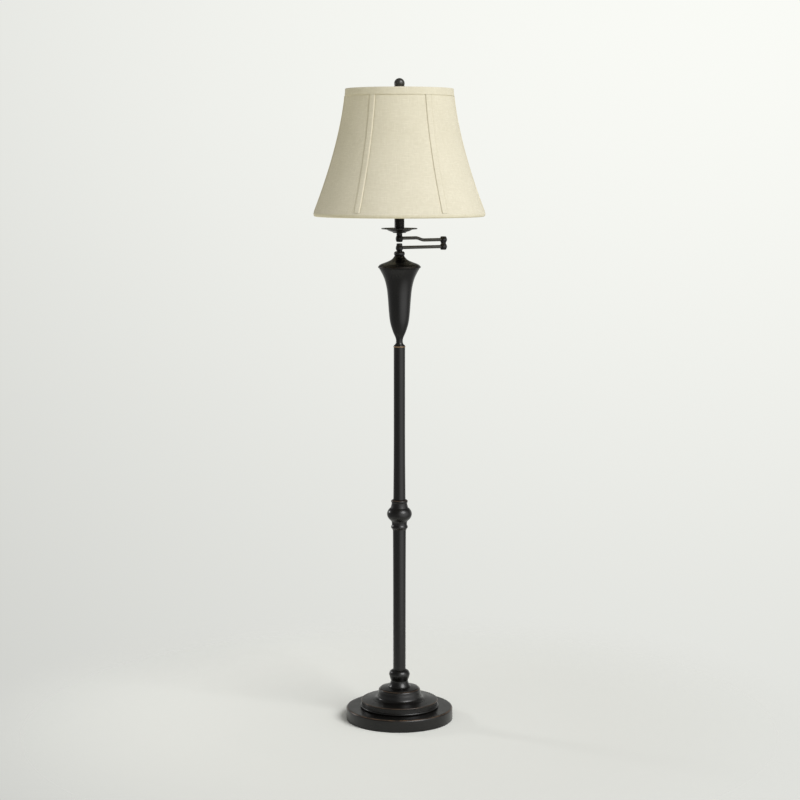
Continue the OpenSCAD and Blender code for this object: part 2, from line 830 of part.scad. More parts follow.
module lower_arm_wire() {
  slack = arm_r - arm_wall - wire_r - fit_gap;
  hub_end_z = min(rod_top + wire_r + fit_gap, lower_arm_z + slack);
  elbow_end_z = lower_arm_z - slack;
  color("#5b4a34") wire_run([
    [0, 0, hub_end_z],
    [hub_room_r, 0, hub_end_z],
    [arm_len - hub_room_r, 0, elbow_end_z],
    [arm_len, 0, elbow_end_z]]);
}

// Upper arm

module elbow_upper() {
  color("#2b2927") translate([arm_len, 0, elbow_top_face_z]) mirror([0, 0, 1]) elbow_half();
}

module elbow_top_cap() {
  color("#2b2927") translate([arm_len, 0, 0]) hub_cap(elbow_top_face_z + elbow_half_h, true);
}

module elbow_bolt() {
  head_z = elbow_top_face_z + hub_wall;
  end_z = elbow_face_z - hub_wall - running_gap - elbow_nut_h - 0.4;
  color("#8d8a84") translate([arm_len, 0, 0]) difference() {
    union() {
      bore(rod_r, end_z, head_z + bolt_head_t);
      bore(nut_corner_r, head_z, head_z + bolt_head_t);
    }
    bore(rod_bore_r, end_z - 1, head_z + bolt_head_t + 1);
  }
}

module elbow_nut() {
  color("#8d8a84") translate([arm_len, 0, 0]) hex_nut(nut_corner_r, rod_r + fit_gap,
    elbow_face_z - hub_wall - running_gap - elbow_nut_h, elbow_nut_h);
}

// The S of the upper arm: two equal and opposite bends
rise_angle = 2 * atan(arm_rise / rise_run);
rise_bend_r = rise_run / (2 * sin(rise_angle));

module upper_arm_core(r, over) {
  inner_end = hub_room_r + 0.2 - over;
  outer_end = arm_len - hub_room_r - 0.2 + over;
  rise_end = rise_start + rise_run;
  middle = [rise_start + rise_run / 2, 0, outer_arm_z + arm_rise / 2];
  gap_angle = asin(joint_gap / rise_bend_r);
  translate([0, 0, inner_arm_z]) rotate([0, 90, 0]) bore(r, inner_end, rise_start - joint_gap);
  joint([rise_start, 0, inner_arm_z], r);
  translate([rise_start, 0, inner_arm_z - rise_bend_r])
    bend(rise_bend_r, 90 - rise_angle + gap_angle, 90 - gap_angle, r);
  joint(middle, r);
  translate([rise_end, 0, outer_arm_z + rise_bend_r])
    bend(rise_bend_r, 270 - rise_angle + gap_angle, 270 - gap_angle, r);
  joint([rise_end, 0, outer_arm_z], r);
  translate([0, 0, outer_arm_z]) rotate([0, 90, 0]) bore(r, rise_end + joint_gap, outer_end);
}

module upper_arm() {
  color("#2b2927") difference() {
    upper_arm_core(arm_r, 0);
    upper_arm_core(arm_r - arm_wall, 1);
  }
}

module candle_hub() {
  z = candle_hub_z;
  arm_z = candle_hub_drop;
  roof_z = z + candle_hub_h - riser_depth - 0.5;
  color("#2b2927") difference() {
    turn(concat(
      [[0, z], [hub_neck_r - 1.4, z]],
      smooth([
        [hub_neck_r + 0.2, z + 1],
        [hub_r - 0.95, z + 3.5],
        [hub_r - 0.2, z + 5.9],
        [hub_r, z + 8.3],
        [hub_r - 0.45, z + 10.7],
        [hub_r - 1.15, z + 12.9],
        [hub_neck_r - 0.2, z + 15.3],
        [hub_neck_r, z + candle_hub_h]], 4),
      [[0, z + candle_hub_h]]));
    bore(hub_room_r, z + hub_wall, roof_z);
    bore(pipe_r + fit_gap, roof_z - 1, z + candle_hub_h + 1);
    translate([0, 0, z + arm_z]) rotate([0, 90, 0]) cylinder(r = arm_r + fit_gap, h = hub_r + 2);
  }
}

module drip_pan() {
  z = pan_z;
  foot_r = 6.8;
  lip = 1.6;
  under = smooth([
    [foot_r, z + 1.2],
    [foot_r + 0.8, z + 2.2],
    [foot_r + 3.2, z + 2.8],
    [14.8, z + 3.1],
    [15.9, z + 4.3],
    [17.2, z + 5.2],
    [21.6, z + 6.5],
    [26.8, z + 8.6],
    [30.2, z + 10.7],
    [pan_r - 6, z + pan_h - 2.9],
    [pan_r - 0.6, z + pan_h - 2.5]], 4);
  inside = [for (p = under) if (p[0] > sleeve_r + 8 && p[0] < pan_r - 4) [p[0] - 0.4, p[1] + pan_wall]];
  color("#2b2927") difference() {
    turn(concat(
      [[0, z], [foot_r, z]],
      under,
      [[pan_r, z + pan_h - 1.9], [pan_r, z + pan_h], [0, z + pan_h]]));
    turn(concat(
      [[0, sleeve_z], [sleeve_r + 0.8, sleeve_z]],
      inside,
      [[pan_r - lip, z + pan_h - 1.1], [pan_r - lip, z + pan_h + 1], [0, z + pan_h + 1]]));
    bore(pipe_r + fit_gap, z - 1, z + pan_h);
  }
}

module candle_sleeve() {
  color("#2b2927") ring(sleeve_r, sleeve_r - sleeve_wall, sleeve_z, saddle_z);
}

// Threaded pipe from the candle hub through pan, sleeve and saddle to the socket cap

module riser_nipple() {
  color("#b08d4f") ring(pipe_r, pipe_bore_r, pan_z - riser_depth, riser_top);
}

module upper_arm_wire() {
  elbow_end_z = elbow_top_face_z + hub_wall + bolt_head_t + wire_r + 0.3;
  color("#5b4a34") wire_run([
    [arm_len, 0, elbow_end_z],
    [rise_start + rise_run + 2, 0, outer_arm_z],
    [rise_start - 2, 0, inner_arm_z],
    [0, 0, inner_arm_z],
    [0, 0, switch_z]]);
}

module harp_saddle() {
  ear_w = 7;
  color("#b08d4f") difference() {
    union() {
      translate([-saddle_half, -ear_w / 2, saddle_z]) cube([2 * saddle_half, ear_w, saddle_t]);
      bore(sleeve_r + 1, saddle_z, saddle_z + saddle_t);
      for (side = [-1, 1]) translate([side * saddle_half, 0, saddle_z])
        cylinder(r = harp_wire_r, h = ear_h - 0.1);
    }
    bore(pipe_r + fit_gap, saddle_z - 1, saddle_z + saddle_t + 1);
  }
}

module socket_cap() {
  z = socket_z;
  h = socket_cap_h;
  color("#b08d4f") difference() {
    turn(concat(
      [[0, z], [pipe_r + 2.6, z], [pipe_r + 2.6, z + 3]],
      smooth([
        [pipe_r + 3.4, z + 3.6],
        [0.8 * socket_r, z + 0.36 * h],
        [0.97 * socket_r, z + 0.56 * h],
        [socket_r, shell_z - 0.6]], 4),
      [[socket_r, z + h], [0, z + h]]));
    turn(concat(
      [[0, riser_top], [pipe_r + 2, riser_top]],
      smooth([
        [0.8 * socket_r - socket_wall, z + 0.36 * h + socket_wall],
        [0.97 * socket_r - socket_wall, z + 0.6 * h],
        [socket_r - socket_wall, shell_z - 0.5]], 4),
      [[socket_r - socket_wall, z + h + 1], [0, z + h + 1]]));
    bore(pipe_r + fit_gap, z - 1, z + h);
  }
}

module socket_shell() {
  r = socket_r - socket_wall - fit_gap;
  color("#b08d4f") difference() {
    bore(r, shell_z, shell_z + socket_shell_h);
    bore(r - socket_wall, shell_z - 1, shell_z + socket_shell_h + 1);
    translate([0, 0, knob_z]) rotate([90, 0, 0]) cylinder(r = knob_shaft_r + 1.2, h = 2 * r);
  }
}

module socket_liner() {
  r = socket_r - 2 * socket_wall - 2 * fit_gap;
  color("#d9c9a8") difference() {
    bore(r, switch_z, shell_z + socket_shell_h - 1);
    bore(switch_r + fit_gap, switch_z - 1, shell_z + socket_shell_h);
    translate([0, 0, knob_z]) rotate([90, 0, 0]) cylinder(r = knob_shaft_r + 1.2, h = 2 * r);
  }
}

module socket_switch() {
  color("#5a4632") difference() {
    bore(switch_r, switch_z, contact_z);
    translate([0, 0, knob_z]) rotate([90, 0, 0]) cylinder(r = knob_shaft_r + fit_gap, h = 2 * switch_r);
  }
}

module screw_shell() {
  color("#c9a24b") ring(screw_shell_bore + 0.5, screw_shell_bore, contact_z, shell_z + socket_shell_h - 2);
}

module centre_contact() {
  color("#c9a24b") bore(4, contact_z, bulb_z);
}

module bulb_base() {
  insulator_h = 4;
  color("#c8c6c0") {
    bore(bulb_base_r, bulb_z + insulator_h, glass_z);
    translate([0, 0, bulb_z]) cylinder(r1 = 4.5, r2 = bulb_base_r - 2, h = insulator_h + eps);
  }
}

module bulb_glass() {
  neck_r = bulb_base_r + 0.4;
  side = smooth([
    [neck_r, glass_z],
    [neck_r + 1.3, glass_z + 0.1 * bulb_h],
    [0.67 * bulb_r, glass_z + 0.29 * bulb_h],
    [0.92 * bulb_r, glass_z + 0.48 * bulb_h],
    [bulb_r, glass_z + 0.65 * bulb_h],
    [0.91 * bulb_r, glass_z + 0.82 * bulb_h],
    [0.58 * bulb_r, glass_z + 0.95 * bulb_h],
    [0.2 * bulb_r, glass_z + 0.995 * bulb_h],
    [0, glass_z + bulb_h]], 4);
  wall = 0.8;
  inner = [for (p = side) if (p[0] > 6) [p[0] - wall, p[1] - 0.4]];
  color("#f4efe2") difference() {
    turn(concat([[0, glass_z]], side));
    turn(concat([[0, glass_z - 1], [neck_r - wall, glass_z - 1]], inner, [[0, glass_z + bulb_h - wall]]));
  }
}

module harp_side() {
  r = harp_wire_r;
  turn_gap = asin(joint_gap / flare_r);
  shoulder_gap = asin(joint_gap / harp_shoulder_r);
  shoulder_x = harp_half - harp_shoulder_r;
  translate([saddle_half, 0, 0]) bore(r, leg_z, flare_z - joint_gap);
  joint([saddle_half, 0, flare_z], r);
  translate([saddle_half + flare_r, 0, flare_z])
    bend(flare_r, 180 - flare_angle + turn_gap, 180 - turn_gap, r);
  joint([(saddle_half + harp_half) / 2, 0, (flare_z + side_z) / 2], r);
  translate([harp_half - flare_r, 0, side_z]) bend(flare_r, turn_gap - flare_angle, -turn_gap, r);
  joint([harp_half, 0, side_z], r);
  translate([harp_half, 0, 0]) bore(r, side_z + joint_gap, shoulder_z - joint_gap);
  joint([harp_half, 0, shoulder_z], r);
  translate([shoulder_x, 0, shoulder_z]) bend(harp_shoulder_r, shoulder_gap, 90 - shoulder_gap, r);
  joint([shoulder_x, 0, harp_top_z], r);
  translate([0, 0, harp_top_z]) rotate([0, 90, 0]) bore(r, stud_plate_r, shoulder_x - joint_gap);
}

module harp() {
  color("#b08d4f") {
    harp_side();
    mirror([1, 0, 0]) harp_side();
  }
}

module harp_sleeves() {
  color("#b08d4f") for (side = [-1, 1]) translate([side * saddle_half, 0, 0])
    ring(harp_wire_r + 1.1, harp_wire_r + fit_gap, leg_z - 7, leg_z + 8);
}

module harp_stud() {
  color("#b08d4f") {
    bore(stud_plate_r, spider_z - stud_plate_h, spider_z);
    bore(stud_r, spider_z - eps, spider_z + finial_ball_z - 6);
  }
}

module switch_knob() {
  start = 0.6 * switch_r;
  knob_y = switch_r + knob_shaft_len;
  color("#141312") translate([0, 0, knob_z]) rotate([90, 0, 0]) {
    bore(knob_shaft_r, start, knob_y + eps);
    difference() {
      bore(knob_r, knob_y, knob_y + knob_len);
      for (a = [0 : 30 : 330]) rotate([0, 0, a]) translate([knob_r + 0.3, 0, knob_y - 1])
        cylinder(r = 0.8, h = knob_len + 2, $fn = 24);
    }
  }
}

// Finial

module finial() {
  z = spider_z + spider_t;
  ball_z = spider_z + finial_ball_z;
  collar = finial_r + 0.7;
  color("#2b2927") difference() {
    turn(concat(
      [[0, z], [7.4, z], [7.4, z + 1.6]],
      smooth([
        [6, z + 2.4],
        [5, z + 5.5],
        [5.8, z + 9],
        [collar - 4, ball_z - 9.6],
        [collar - 0.4, ball_z - 8.2],
        [collar, ball_z - 7.2],
        [collar - 0.7, ball_z - 6.2]], 3),
      arc([0, ball_z], finial_r, -24, 90, 16)));
    bore(stud_r + fit_gap, z - 1, ball_z - 5);
  }
}

// Shade

// Heights from z0 up to z1 at which the outline of the shade turns
function skin_heights(z0, z1) = concat(
  [z0],
  [for (k = [shade_levels : -1 : 0]) let (z = shade_top - k * shade_step)
    if (z > z0 + skin_gap && z < z1 - skin_gap) z],
  [z1]);

// Outline of a skin of thickness t that lies at one depth inside the outer face
function skin(depth, t, z0, z1) =
  let (heights = skin_heights(z0, z1), last = len(heights) - 1)
  concat(
    [for (z = heights) [shade_r(z) - depth, z]],
    [for (k = [last : -1 : 0]) [shade_r(heights[k]) - depth - t, heights[k]]]);

module seam_slabs(width) {
  for (k = [0 : panels - 1]) rotate([0, 0, 90 + seam_turn + 360 * k / panels])
    translate([shade_top_r / 2, -width / 2, shade_bottom - 1])
      cube([shade_hem_r, width, shade_h + 2]);
}

module shade_spider() {
  hub_mid = spider_z + spider_t / 2;
  start_r = stud_plate_r + 2;
  color("#8d8a84") difference() {
    union() {
      bore(spider_hub_r, spider_z, spider_z + spider_t);
      for (a = [90, 210, 330]) rotate([0, 0, a])
        rod_between([start_r, 0, hub_mid], [ring_r - frame_wire_d / 2 - skin_gap, 0, ring_z], arm_wire_r);
    }
    bore(stud_r + fit_gap, spider_z - 1, spider_z + spider_t + 1);
  }
}

module shade_frame() {
  color("#8d8a84") {
    translate([0, 0, ring_z]) rotate_extrude() translate([ring_r, 0]) circle(d = frame_wire_d);
    intersection() {
      turn(skin(rib_depth + 0.2, frame_wire_d - 0.4, hem_z, ring_z));
      seam_slabs(frame_wire_d);
    }
    translate([0, 0, hem_z]) rotate_extrude() translate([hem_ring_r, 0])
      circle(r = hem_roll_r - rib_depth);
  }
}

module shade_cover() {
  color("#d8d2ba") turn(skin(cover_depth, cloth_t, hem_z, shade_top - trim_t - skin_gap));
}

module shade_liner() {
  color("#efeade") turn(skin(liner_depth, liner_t, hem_z + hem_roll_r - rib_depth + 0.4,
    ring_z - arm_wire_r - 0.6));
}

band_low = shade_top - top_band_h;
hem_top = hem_z + bottom_band_h - hem_roll_r;

// Band folded over the top ring
module top_band() {
  fold_z = shade_top - trim_t;
  inner_r = shade_top_r - shade_wall;
  heights = skin_heights(band_low, fold_z);
  color("#d8d2ba") turn(concat(
    [for (z = heights) [shade_r(z), z]],
    [[shade_top_r, shade_top], [inner_r, shade_top], [inner_r, fold_z]],
    [for (k = [len(heights) - 1 : -1 : 0]) [shade_r(heights[k]) - trim_t, heights[k]]]));
}

// Band rolled round the ring of the hem
module bottom_band() {
  inner_leg = 4;
  roll_in = hem_roll_r - trim_t;
  heights = skin_heights(hem_z, hem_top);
  last = len(heights) - 1;
  color("#d8d2ba") turn(concat(
    [for (k = [last : -1 : 1]) [shade_r(heights[k]), heights[k]]],
    arc([hem_ring_r, hem_z], hem_roll_r, 0, -180, 16),
    [
      [hem_ring_r - hem_roll_r, hem_z + inner_leg],
      [hem_ring_r - roll_in, hem_z + inner_leg]
    ],
    arc([hem_ring_r, hem_z], roll_in, -180, 0, 16),
    [for (k = [1 : last]) [shade_r(heights[k]) - trim_t, heights[k]]]));
}

// Strips that cover the seams between the panels
module seam_strips() {
  color("#d8d2ba") intersection() {
    turn(skin(0, trim_t, hem_top, band_low));
    seam_slabs(seam_w);
  }
}

base_pad();
base_weight();
base_cover();
base_tier();
base_crown();
base_nipple();
base_locknut();
cord_bushing();
foot_collar();
lower_pole();
pole_plugs();
knuckle();
knuckle_nipple();
upper_pole();
pole_ring();
urn_neck();
urn();
urn_cap();
check_ring();
urn_rod();
pivot_washer();
pivot_nut();
pole_wire();
pole_hub();
lower_hub_caps();
lower_arm();
elbow_lower();
elbow_washer();
lower_arm_wire();
elbow_upper();
elbow_top_cap();
elbow_bolt();
elbow_nut();
upper_arm();
candle_hub();
drip_pan();
candle_sleeve();
riser_nipple();
upper_arm_wire();
harp_saddle();
socket_cap();
socket_shell();
socket_liner();
socket_switch();
screw_shell();
centre_contact();
bulb_glass();
bulb_base();
harp();
harp_sleeves();
harp_stud();
switch_knob();
finial();
shade_spider();
shade_frame();
shade_cover();
shade_liner();
top_band();
bottom_band();
seam_strips();
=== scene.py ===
import json
import math

import bpy
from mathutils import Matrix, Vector


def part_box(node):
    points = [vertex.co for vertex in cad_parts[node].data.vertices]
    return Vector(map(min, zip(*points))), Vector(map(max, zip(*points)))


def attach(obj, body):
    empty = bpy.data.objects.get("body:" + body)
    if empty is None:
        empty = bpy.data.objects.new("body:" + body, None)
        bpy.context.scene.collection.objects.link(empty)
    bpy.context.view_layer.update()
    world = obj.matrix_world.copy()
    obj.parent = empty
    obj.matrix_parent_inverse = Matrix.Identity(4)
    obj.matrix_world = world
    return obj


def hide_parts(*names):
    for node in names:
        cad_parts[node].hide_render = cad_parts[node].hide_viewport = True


# Swing arm floor lamp: turned bronze stand, folding arms and a linen bell shade.
# Outlines are radius and height in millimetres, as on a turner's drawing. The camera, the floor
# and the lamps are in metres and degrees.

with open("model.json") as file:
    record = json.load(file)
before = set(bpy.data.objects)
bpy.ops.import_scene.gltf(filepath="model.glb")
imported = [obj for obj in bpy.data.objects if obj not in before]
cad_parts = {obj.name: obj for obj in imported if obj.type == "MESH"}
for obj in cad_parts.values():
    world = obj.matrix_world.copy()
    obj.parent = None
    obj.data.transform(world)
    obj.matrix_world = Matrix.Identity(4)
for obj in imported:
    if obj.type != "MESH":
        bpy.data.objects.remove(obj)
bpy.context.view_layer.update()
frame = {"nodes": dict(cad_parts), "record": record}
bpy.ops.object.select_all(action="DESELECT")

MM = 0.001
SPIN_STEPS = 96
ARM_LENGTH = 122
POLE_AXIS = (0, 0)
ELBOW_AXIS = (ARM_LENGTH, 0)


def foot(node):
    """Height of the lowest point of a CAD node, in millimetres."""
    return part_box(node)[0].z / MM


def head(node):
    """Height of the highest point of a CAD node, in millimetres."""
    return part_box(node)[1].z / MM


# Camera

LENS = 87
SENSOR_WIDTH = 36
LAMP_TO_CAMERA = 4.5983
CAMERA_HEIGHT = 1.3354
CAMERA_ASIDE = 0.0014
CAMERA_AZIMUTH = math.radians(-30)
CAMERA_PITCH = math.radians(6.863)

towards_camera = Vector((math.sin(CAMERA_AZIMUTH), -math.cos(CAMERA_AZIMUTH), 0))
to_the_right = Vector((math.cos(CAMERA_AZIMUTH), math.sin(CAMERA_AZIMUTH), 0))


def aim_camera():
    place = towards_camera * LAMP_TO_CAMERA + to_the_right * CAMERA_ASIDE
    bpy.ops.object.camera_add(
        location=(place.x, place.y, CAMERA_HEIGHT),
        rotation=(math.pi / 2 - CAMERA_PITCH, 0, CAMERA_AZIMUTH))
    camera = bpy.context.object
    camera.name = "view_camera"
    camera.data.lens = LENS
    camera.data.sensor_width = SENSOR_WIDTH
    bpy.context.scene.camera = camera


# Outlines

def arc(r, z, radius, start, end, steps=8):
    """Points of a round stretch about (r, z), in degrees from straight out to straight up."""
    turns = [math.radians(start + (end - start) * k / steps) for k in range(steps + 1)]
    return [(r + radius * math.cos(a), z + radius * math.sin(a)) for a in turns]


def flowing(points, steps=6):
    """A smooth line through given points."""
    line = []
    for i in range(len(points) - 1):
        b, c = points[i], points[i + 1]
        a = points[i - 1] if i else tuple(2 * p - q for p, q in zip(b, c))
        d = points[i + 2] if i + 2 < len(points) else tuple(2 * q - p for p, q in zip(b, c))
        for k in range(steps):
            t = k / steps
            line.append(tuple(
                0.5 * (2 * q + (r - p) * t + (2 * p - 5 * q + 4 * r - s) * t * t
                       + (3 * q - p - 3 * r + s) * t * t * t)
                for p, q, r, s in zip(a, b, c, d)))
    return line + [points[-1]]


# Modelling

def pick(piece):
    """Selects one piece alone and makes it the active one."""
    bpy.ops.object.select_all(action="DESELECT")
    piece.select_set(True)
    bpy.context.view_layer.objects.active = piece


def take_to_origin(piece):
    """The place goes into the mesh, as a CAD node has it."""
    pick(piece)
    bpy.ops.object.transform_apply(location=True, rotation=True, scale=True)


def smooth_faces(piece, angle=32):
    """Shades smooth, except across edges sharper than an angle in degrees."""
    pick(piece)
    bpy.ops.object.shade_smooth_by_angle(angle=math.radians(angle))
    piece.select_set(False)


def turned(name, outline, axis=POLE_AXIS, steps=SPIN_STEPS):
    """One vertex is drawn along the outline and the line is spun about an upright axis."""
    x, y = axis
    r, z = outline[0]
    bpy.ops.object.select_all(action="DESELECT")
    bpy.ops.mesh.primitive_plane_add(size=MM, location=((x + r) * MM, y * MM, z * MM))
    piece = bpy.context.object
    piece.name = piece.data.name = name
    bpy.ops.object.mode_set(mode="EDIT")
    bpy.ops.mesh.select_mode(type="VERT")
    bpy.ops.mesh.select_all(action="SELECT")
    bpy.ops.mesh.merge(type="CENTER")
    for (r0, z0), (r1, z1) in zip(outline, outline[1:]):
        step = ((r1 - r0) * MM, 0, (z1 - z0) * MM)
        bpy.ops.mesh.extrude_region_move(TRANSFORM_OT_translate={"value": step})
    bpy.ops.mesh.select_all(action="SELECT")
    bpy.ops.mesh.spin(steps=steps, angle=2 * math.pi, center=(x * MM, y * MM, 0), axis=(0, 0, 1))
    bpy.ops.mesh.select_all(action="SELECT")
    bpy.ops.mesh.remove_doubles(threshold=0.003 * MM)
    bpy.ops.mesh.normals_make_consistent(inside=False)
    bpy.ops.object.mode_set(mode="OBJECT")
    take_to_origin(piece)
    smooth_faces(piece)
    return piece


def rub(piece, rims, reach):
    """Marks where hands and cloths have rubbed the finish, by distance from each rim."""
    marks = piece.data.attributes.new("rubbed", "FLOAT", "POINT")
    for vertex, mark in zip(piece.data.vertices, marks.data):
        r, z = math.hypot(vertex.co.x / MM, vertex.co.y / MM), vertex.co.z / MM
        gap = min(math.hypot(r - rim_r, z - rim_z) for rim_r, rim_z in rims)
        mark.value = math.exp(-((gap / reach) ** 2))


def dress(piece, material, body, slot, *nodes):
    """Gives a finished piece its material and its body, and hides the CAD nodes that it stands for.
    """
    piece.data.materials.clear()
    piece.data.materials.append(material)
    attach(piece, body)
    if nodes:
        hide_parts(*nodes)


# Materials

def new_material(name):
    material = bpy.data.materials.new(name)
    material.use_nodes = True
    return material, material.node_tree, material.node_tree.nodes["Principled BSDF"]


def noise(tree, scale, detail, roughness=0.55, stretch=None):
    """A noise texture on the piece's own coordinates, in repeats per metre."""
    texture = tree.nodes.new("ShaderNodeTexNoise")
    texture.inputs["Scale"].default_value = scale
    texture.inputs["Detail"].default_value = detail
    texture.inputs["Roughness"].default_value = roughness
    source = tree.nodes.new("ShaderNodeTexCoord").outputs["Object"]
    if stretch:
        mapping = tree.nodes.new("ShaderNodeMapping")
        mapping.inputs["Scale"].default_value = stretch
        tree.links.new(source, mapping.inputs["Vector"])
        source = mapping.outputs["Vector"]
    tree.links.new(source, texture.inputs["Vector"])
    return texture.outputs["Fac"]


def spread(tree, value, low, high, to_low=0.0, to_high=1.0):
    """Maps a value's range onto another, and holds it there."""
    node = tree.nodes.new("ShaderNodeMapRange")
    node.clamp = True
    node.inputs["From Min"].default_value = low
    node.inputs["From Max"].default_value = high
    node.inputs["To Min"].default_value = to_low
    node.inputs["To Max"].default_value = to_high
    tree.links.new(value, node.inputs["Value"])
    return node.outputs["Result"]


def calculate(tree, operation, a, b):
    """A sum on two values, each a number or a socket."""
    node = tree.nodes.new("ShaderNodeMath")
    node.operation = operation
    for socket, value in zip(node.inputs, (a, b)):
        if isinstance(value, (int, float)):
            socket.default_value = value
        else:
            tree.links.new(value, socket)
    return node.outputs["Value"]


def mixed(tree, factor, first, second):
    """A blend of two colours, each a tuple or a socket."""
    node = tree.nodes.new("ShaderNodeMix")
    node.data_type = "RGBA"
    tree.links.new(factor, node.inputs["Factor"])
    for socket, value in ((node.inputs[6], first), (node.inputs[7], second)):
        if isinstance(value, tuple):
            socket.default_value = (*value, 1)
        else:
            tree.links.new(value, socket)
    return node.outputs[2]


def bump(tree, shader, height, strength, distance):
    node = tree.nodes.new("ShaderNodeBump")
    node.inputs["Strength"].default_value = strength
    node.inputs["Distance"].default_value = distance
    tree.links.new(height, node.inputs["Height"])
    tree.links.new(node.outputs["Normal"], shader.inputs["Normal"])


def rubbed_bronze(name, dark, brown, copper, wear=1.0, gloss=(0.26, 0.34), shine=0.42):
    """Dark oil-rubbed bronze paint: clouded, faintly pitted, and copper where it is rubbed."""
    material, tree, shader = new_material(name)
    clouds = spread(tree, noise(tree, 14, 5), 0.35, 0.7)
    coat = mixed(tree, clouds, dark, brown)
    marks = tree.nodes.new("ShaderNodeAttribute")
    marks.attribute_name = "rubbed"
    patches = spread(tree, noise(tree, 42, 5, 0.65), 0.38, 0.62, 0.15, 1.0)
    worn = calculate(tree, "MULTIPLY", marks.outputs["Fac"], patches)
    worn = calculate(tree, "MULTIPLY", worn, wear)
    tree.links.new(mixed(tree, worn, coat, copper), shader.inputs["Base Color"])
    metal = calculate(tree, "MULTIPLY", worn, 0.5)
    tree.links.new(metal, shader.inputs["Metallic"])
    smudges = spread(tree, noise(tree, 30, 3), 0.3, 0.7, *gloss)
    tree.links.new(smudges, shader.inputs["Roughness"])
    shader.inputs["Specular IOR Level"].default_value = shine
    bump(tree, shader, noise(tree, 420, 3), 0.08, 0.0004)
    return material


def plain_metal(name, first, second, roughness, scratches):
    """Bare plated metal with fine drawn lines round it."""
    material, tree, shader = new_material(name)
    tone = spread(tree, noise(tree, 60, 4), 0.3, 0.7)
    tree.links.new(mixed(tree, tone, first, second), shader.inputs["Base Color"])
    shader.inputs["Metallic"].default_value = 1.0
    lines = noise(tree, 300, 2, stretch=scratches)
    tree.links.new(spread(tree, lines, 0.3, 0.7, roughness - 0.06, roughness + 0.08),
                   shader.inputs["Roughness"])
    bump(tree, shader, lines, 0.08, 0.0002)
    return material


def plain_plastic(name, first, second, roughness, grain=500):
    material, tree, shader = new_material(name)
    tone = spread(tree, noise(tree, 90, 4), 0.3, 0.7)
    tree.links.new(mixed(tree, tone, first, second), shader.inputs["Base Color"])
    tree.links.new(spread(tree, noise(tree, 220, 3), 0.3, 0.7, roughness - 0.05, roughness + 0.06),
                   shader.inputs["Roughness"])
    bump(tree, shader, noise(tree, grain, 3), 0.15, 0.0002)
    return material


def linen(name, pale, dark, weave_strength=0.5, thread=0.00062):
    """Slubby plain weave on a UV map in metres, across and up the cloth."""
    material, tree, shader = new_material(name)
    place = tree.nodes.new("ShaderNodeUVMap")
    place.uv_map = "cloth"
    parts = tree.nodes.new("ShaderNodeSeparateXYZ")
    tree.links.new(place.outputs["UV"], parts.inputs["Vector"])

    def streaks(across, up, detail=3):
        mapping = tree.nodes.new("ShaderNodeMapping")
        mapping.inputs["Scale"].default_value = (across, up, 1)
        texture = tree.nodes.new("ShaderNodeTexNoise")
        texture.inputs["Scale"].default_value = 1
        texture.inputs["Detail"].default_value = detail
        tree.links.new(place.outputs["UV"], mapping.inputs["Vector"])
        tree.links.new(mapping.outputs["Vector"], texture.inputs["Vector"])
        return texture.outputs["Fac"]

    def threads(along):
        wander = calculate(tree, "MULTIPLY", streaks(90, 90), 0.9)
        turns = calculate(tree, "ADD", calculate(tree, "MULTIPLY", along, 1 / thread), wander)
        wave = calculate(tree, "SINE", calculate(tree, "MULTIPLY", turns, math.pi), 0)
        return calculate(tree, "ABSOLUTE", wave, 0)

    weft = threads(parts.outputs["Y"])
    warp = threads(parts.outputs["X"])
    weave = calculate(tree, "ADD", weft, warp)
    weft_slubs = spread(tree, streaks(38, 900, 4), 0.52, 0.78)
    warp_slubs = spread(tree, streaks(900, 30, 4), 0.54, 0.80)
    slubs = calculate(tree, "ADD", weft_slubs, warp_slubs)
    mottle = spread(tree, streaks(120, 150, 5), 0.32, 0.68)
    broad = spread(tree, streaks(14, 16, 2), 0.3, 0.7)
    lightness = calculate(tree, "MULTIPLY", weave, 0.16)
    for layer, share in ((slubs, 0.34), (mottle, 0.12), (broad, 0.10)):
        lightness = calculate(tree, "ADD", lightness, calculate(tree, "MULTIPLY", layer, share))
    tree.links.new(mixed(tree, spread(tree, lightness, -0.05, 0.75), dark, pale),
                   shader.inputs["Base Color"])
    tree.links.new(spread(tree, mottle, 0, 1, 0.86, 0.96), shader.inputs["Roughness"])
    shader.inputs["Specular IOR Level"].default_value = 0.15
    shader.inputs["Sheen Weight"].default_value = 0.08
    shader.inputs["Sheen Roughness"].default_value = 0.5
    height = calculate(tree, "ADD", weave, calculate(tree, "MULTIPLY", slubs, 0.9))
    bump(tree, shader, height, weave_strength, 0.00025)
    return material


def frosted_glass(name):
    material, tree, shader = new_material(name)
    tone = spread(tree, noise(tree, 40, 3), 0.3, 0.7)
    tree.links.new(mixed(tree, tone, (0.90, 0.89, 0.86), (0.95, 0.94, 0.92)),
                   shader.inputs["Base Color"])
    tree.links.new(spread(tree, noise(tree, 300, 3), 0.3, 0.7, 0.28, 0.38),
                   shader.inputs["Roughness"])
    shader.inputs["Transmission Weight"].default_value = 0.25
    shader.inputs["Subsurface Weight"].default_value = 0.3
    bump(tree, shader, noise(tree, 900, 2), 0.05, 0.0002)
    return material


def felt(name):
    material, tree, shader = new_material(name)
    tone = spread(tree, noise(tree, 700, 5, 0.7), 0.3, 0.7)
    tree.links.new(mixed(tree, tone, (0.010, 0.010, 0.010), (0.035, 0.033, 0.031)),
                   shader.inputs["Base Color"])
    shader.inputs["Roughness"].default_value = 0.95
    shader.inputs["Sheen Weight"].default_value = 0.2
    bump(tree, shader, noise(tree, 1500, 4, 0.7), 0.6, 0.0006)
    return material


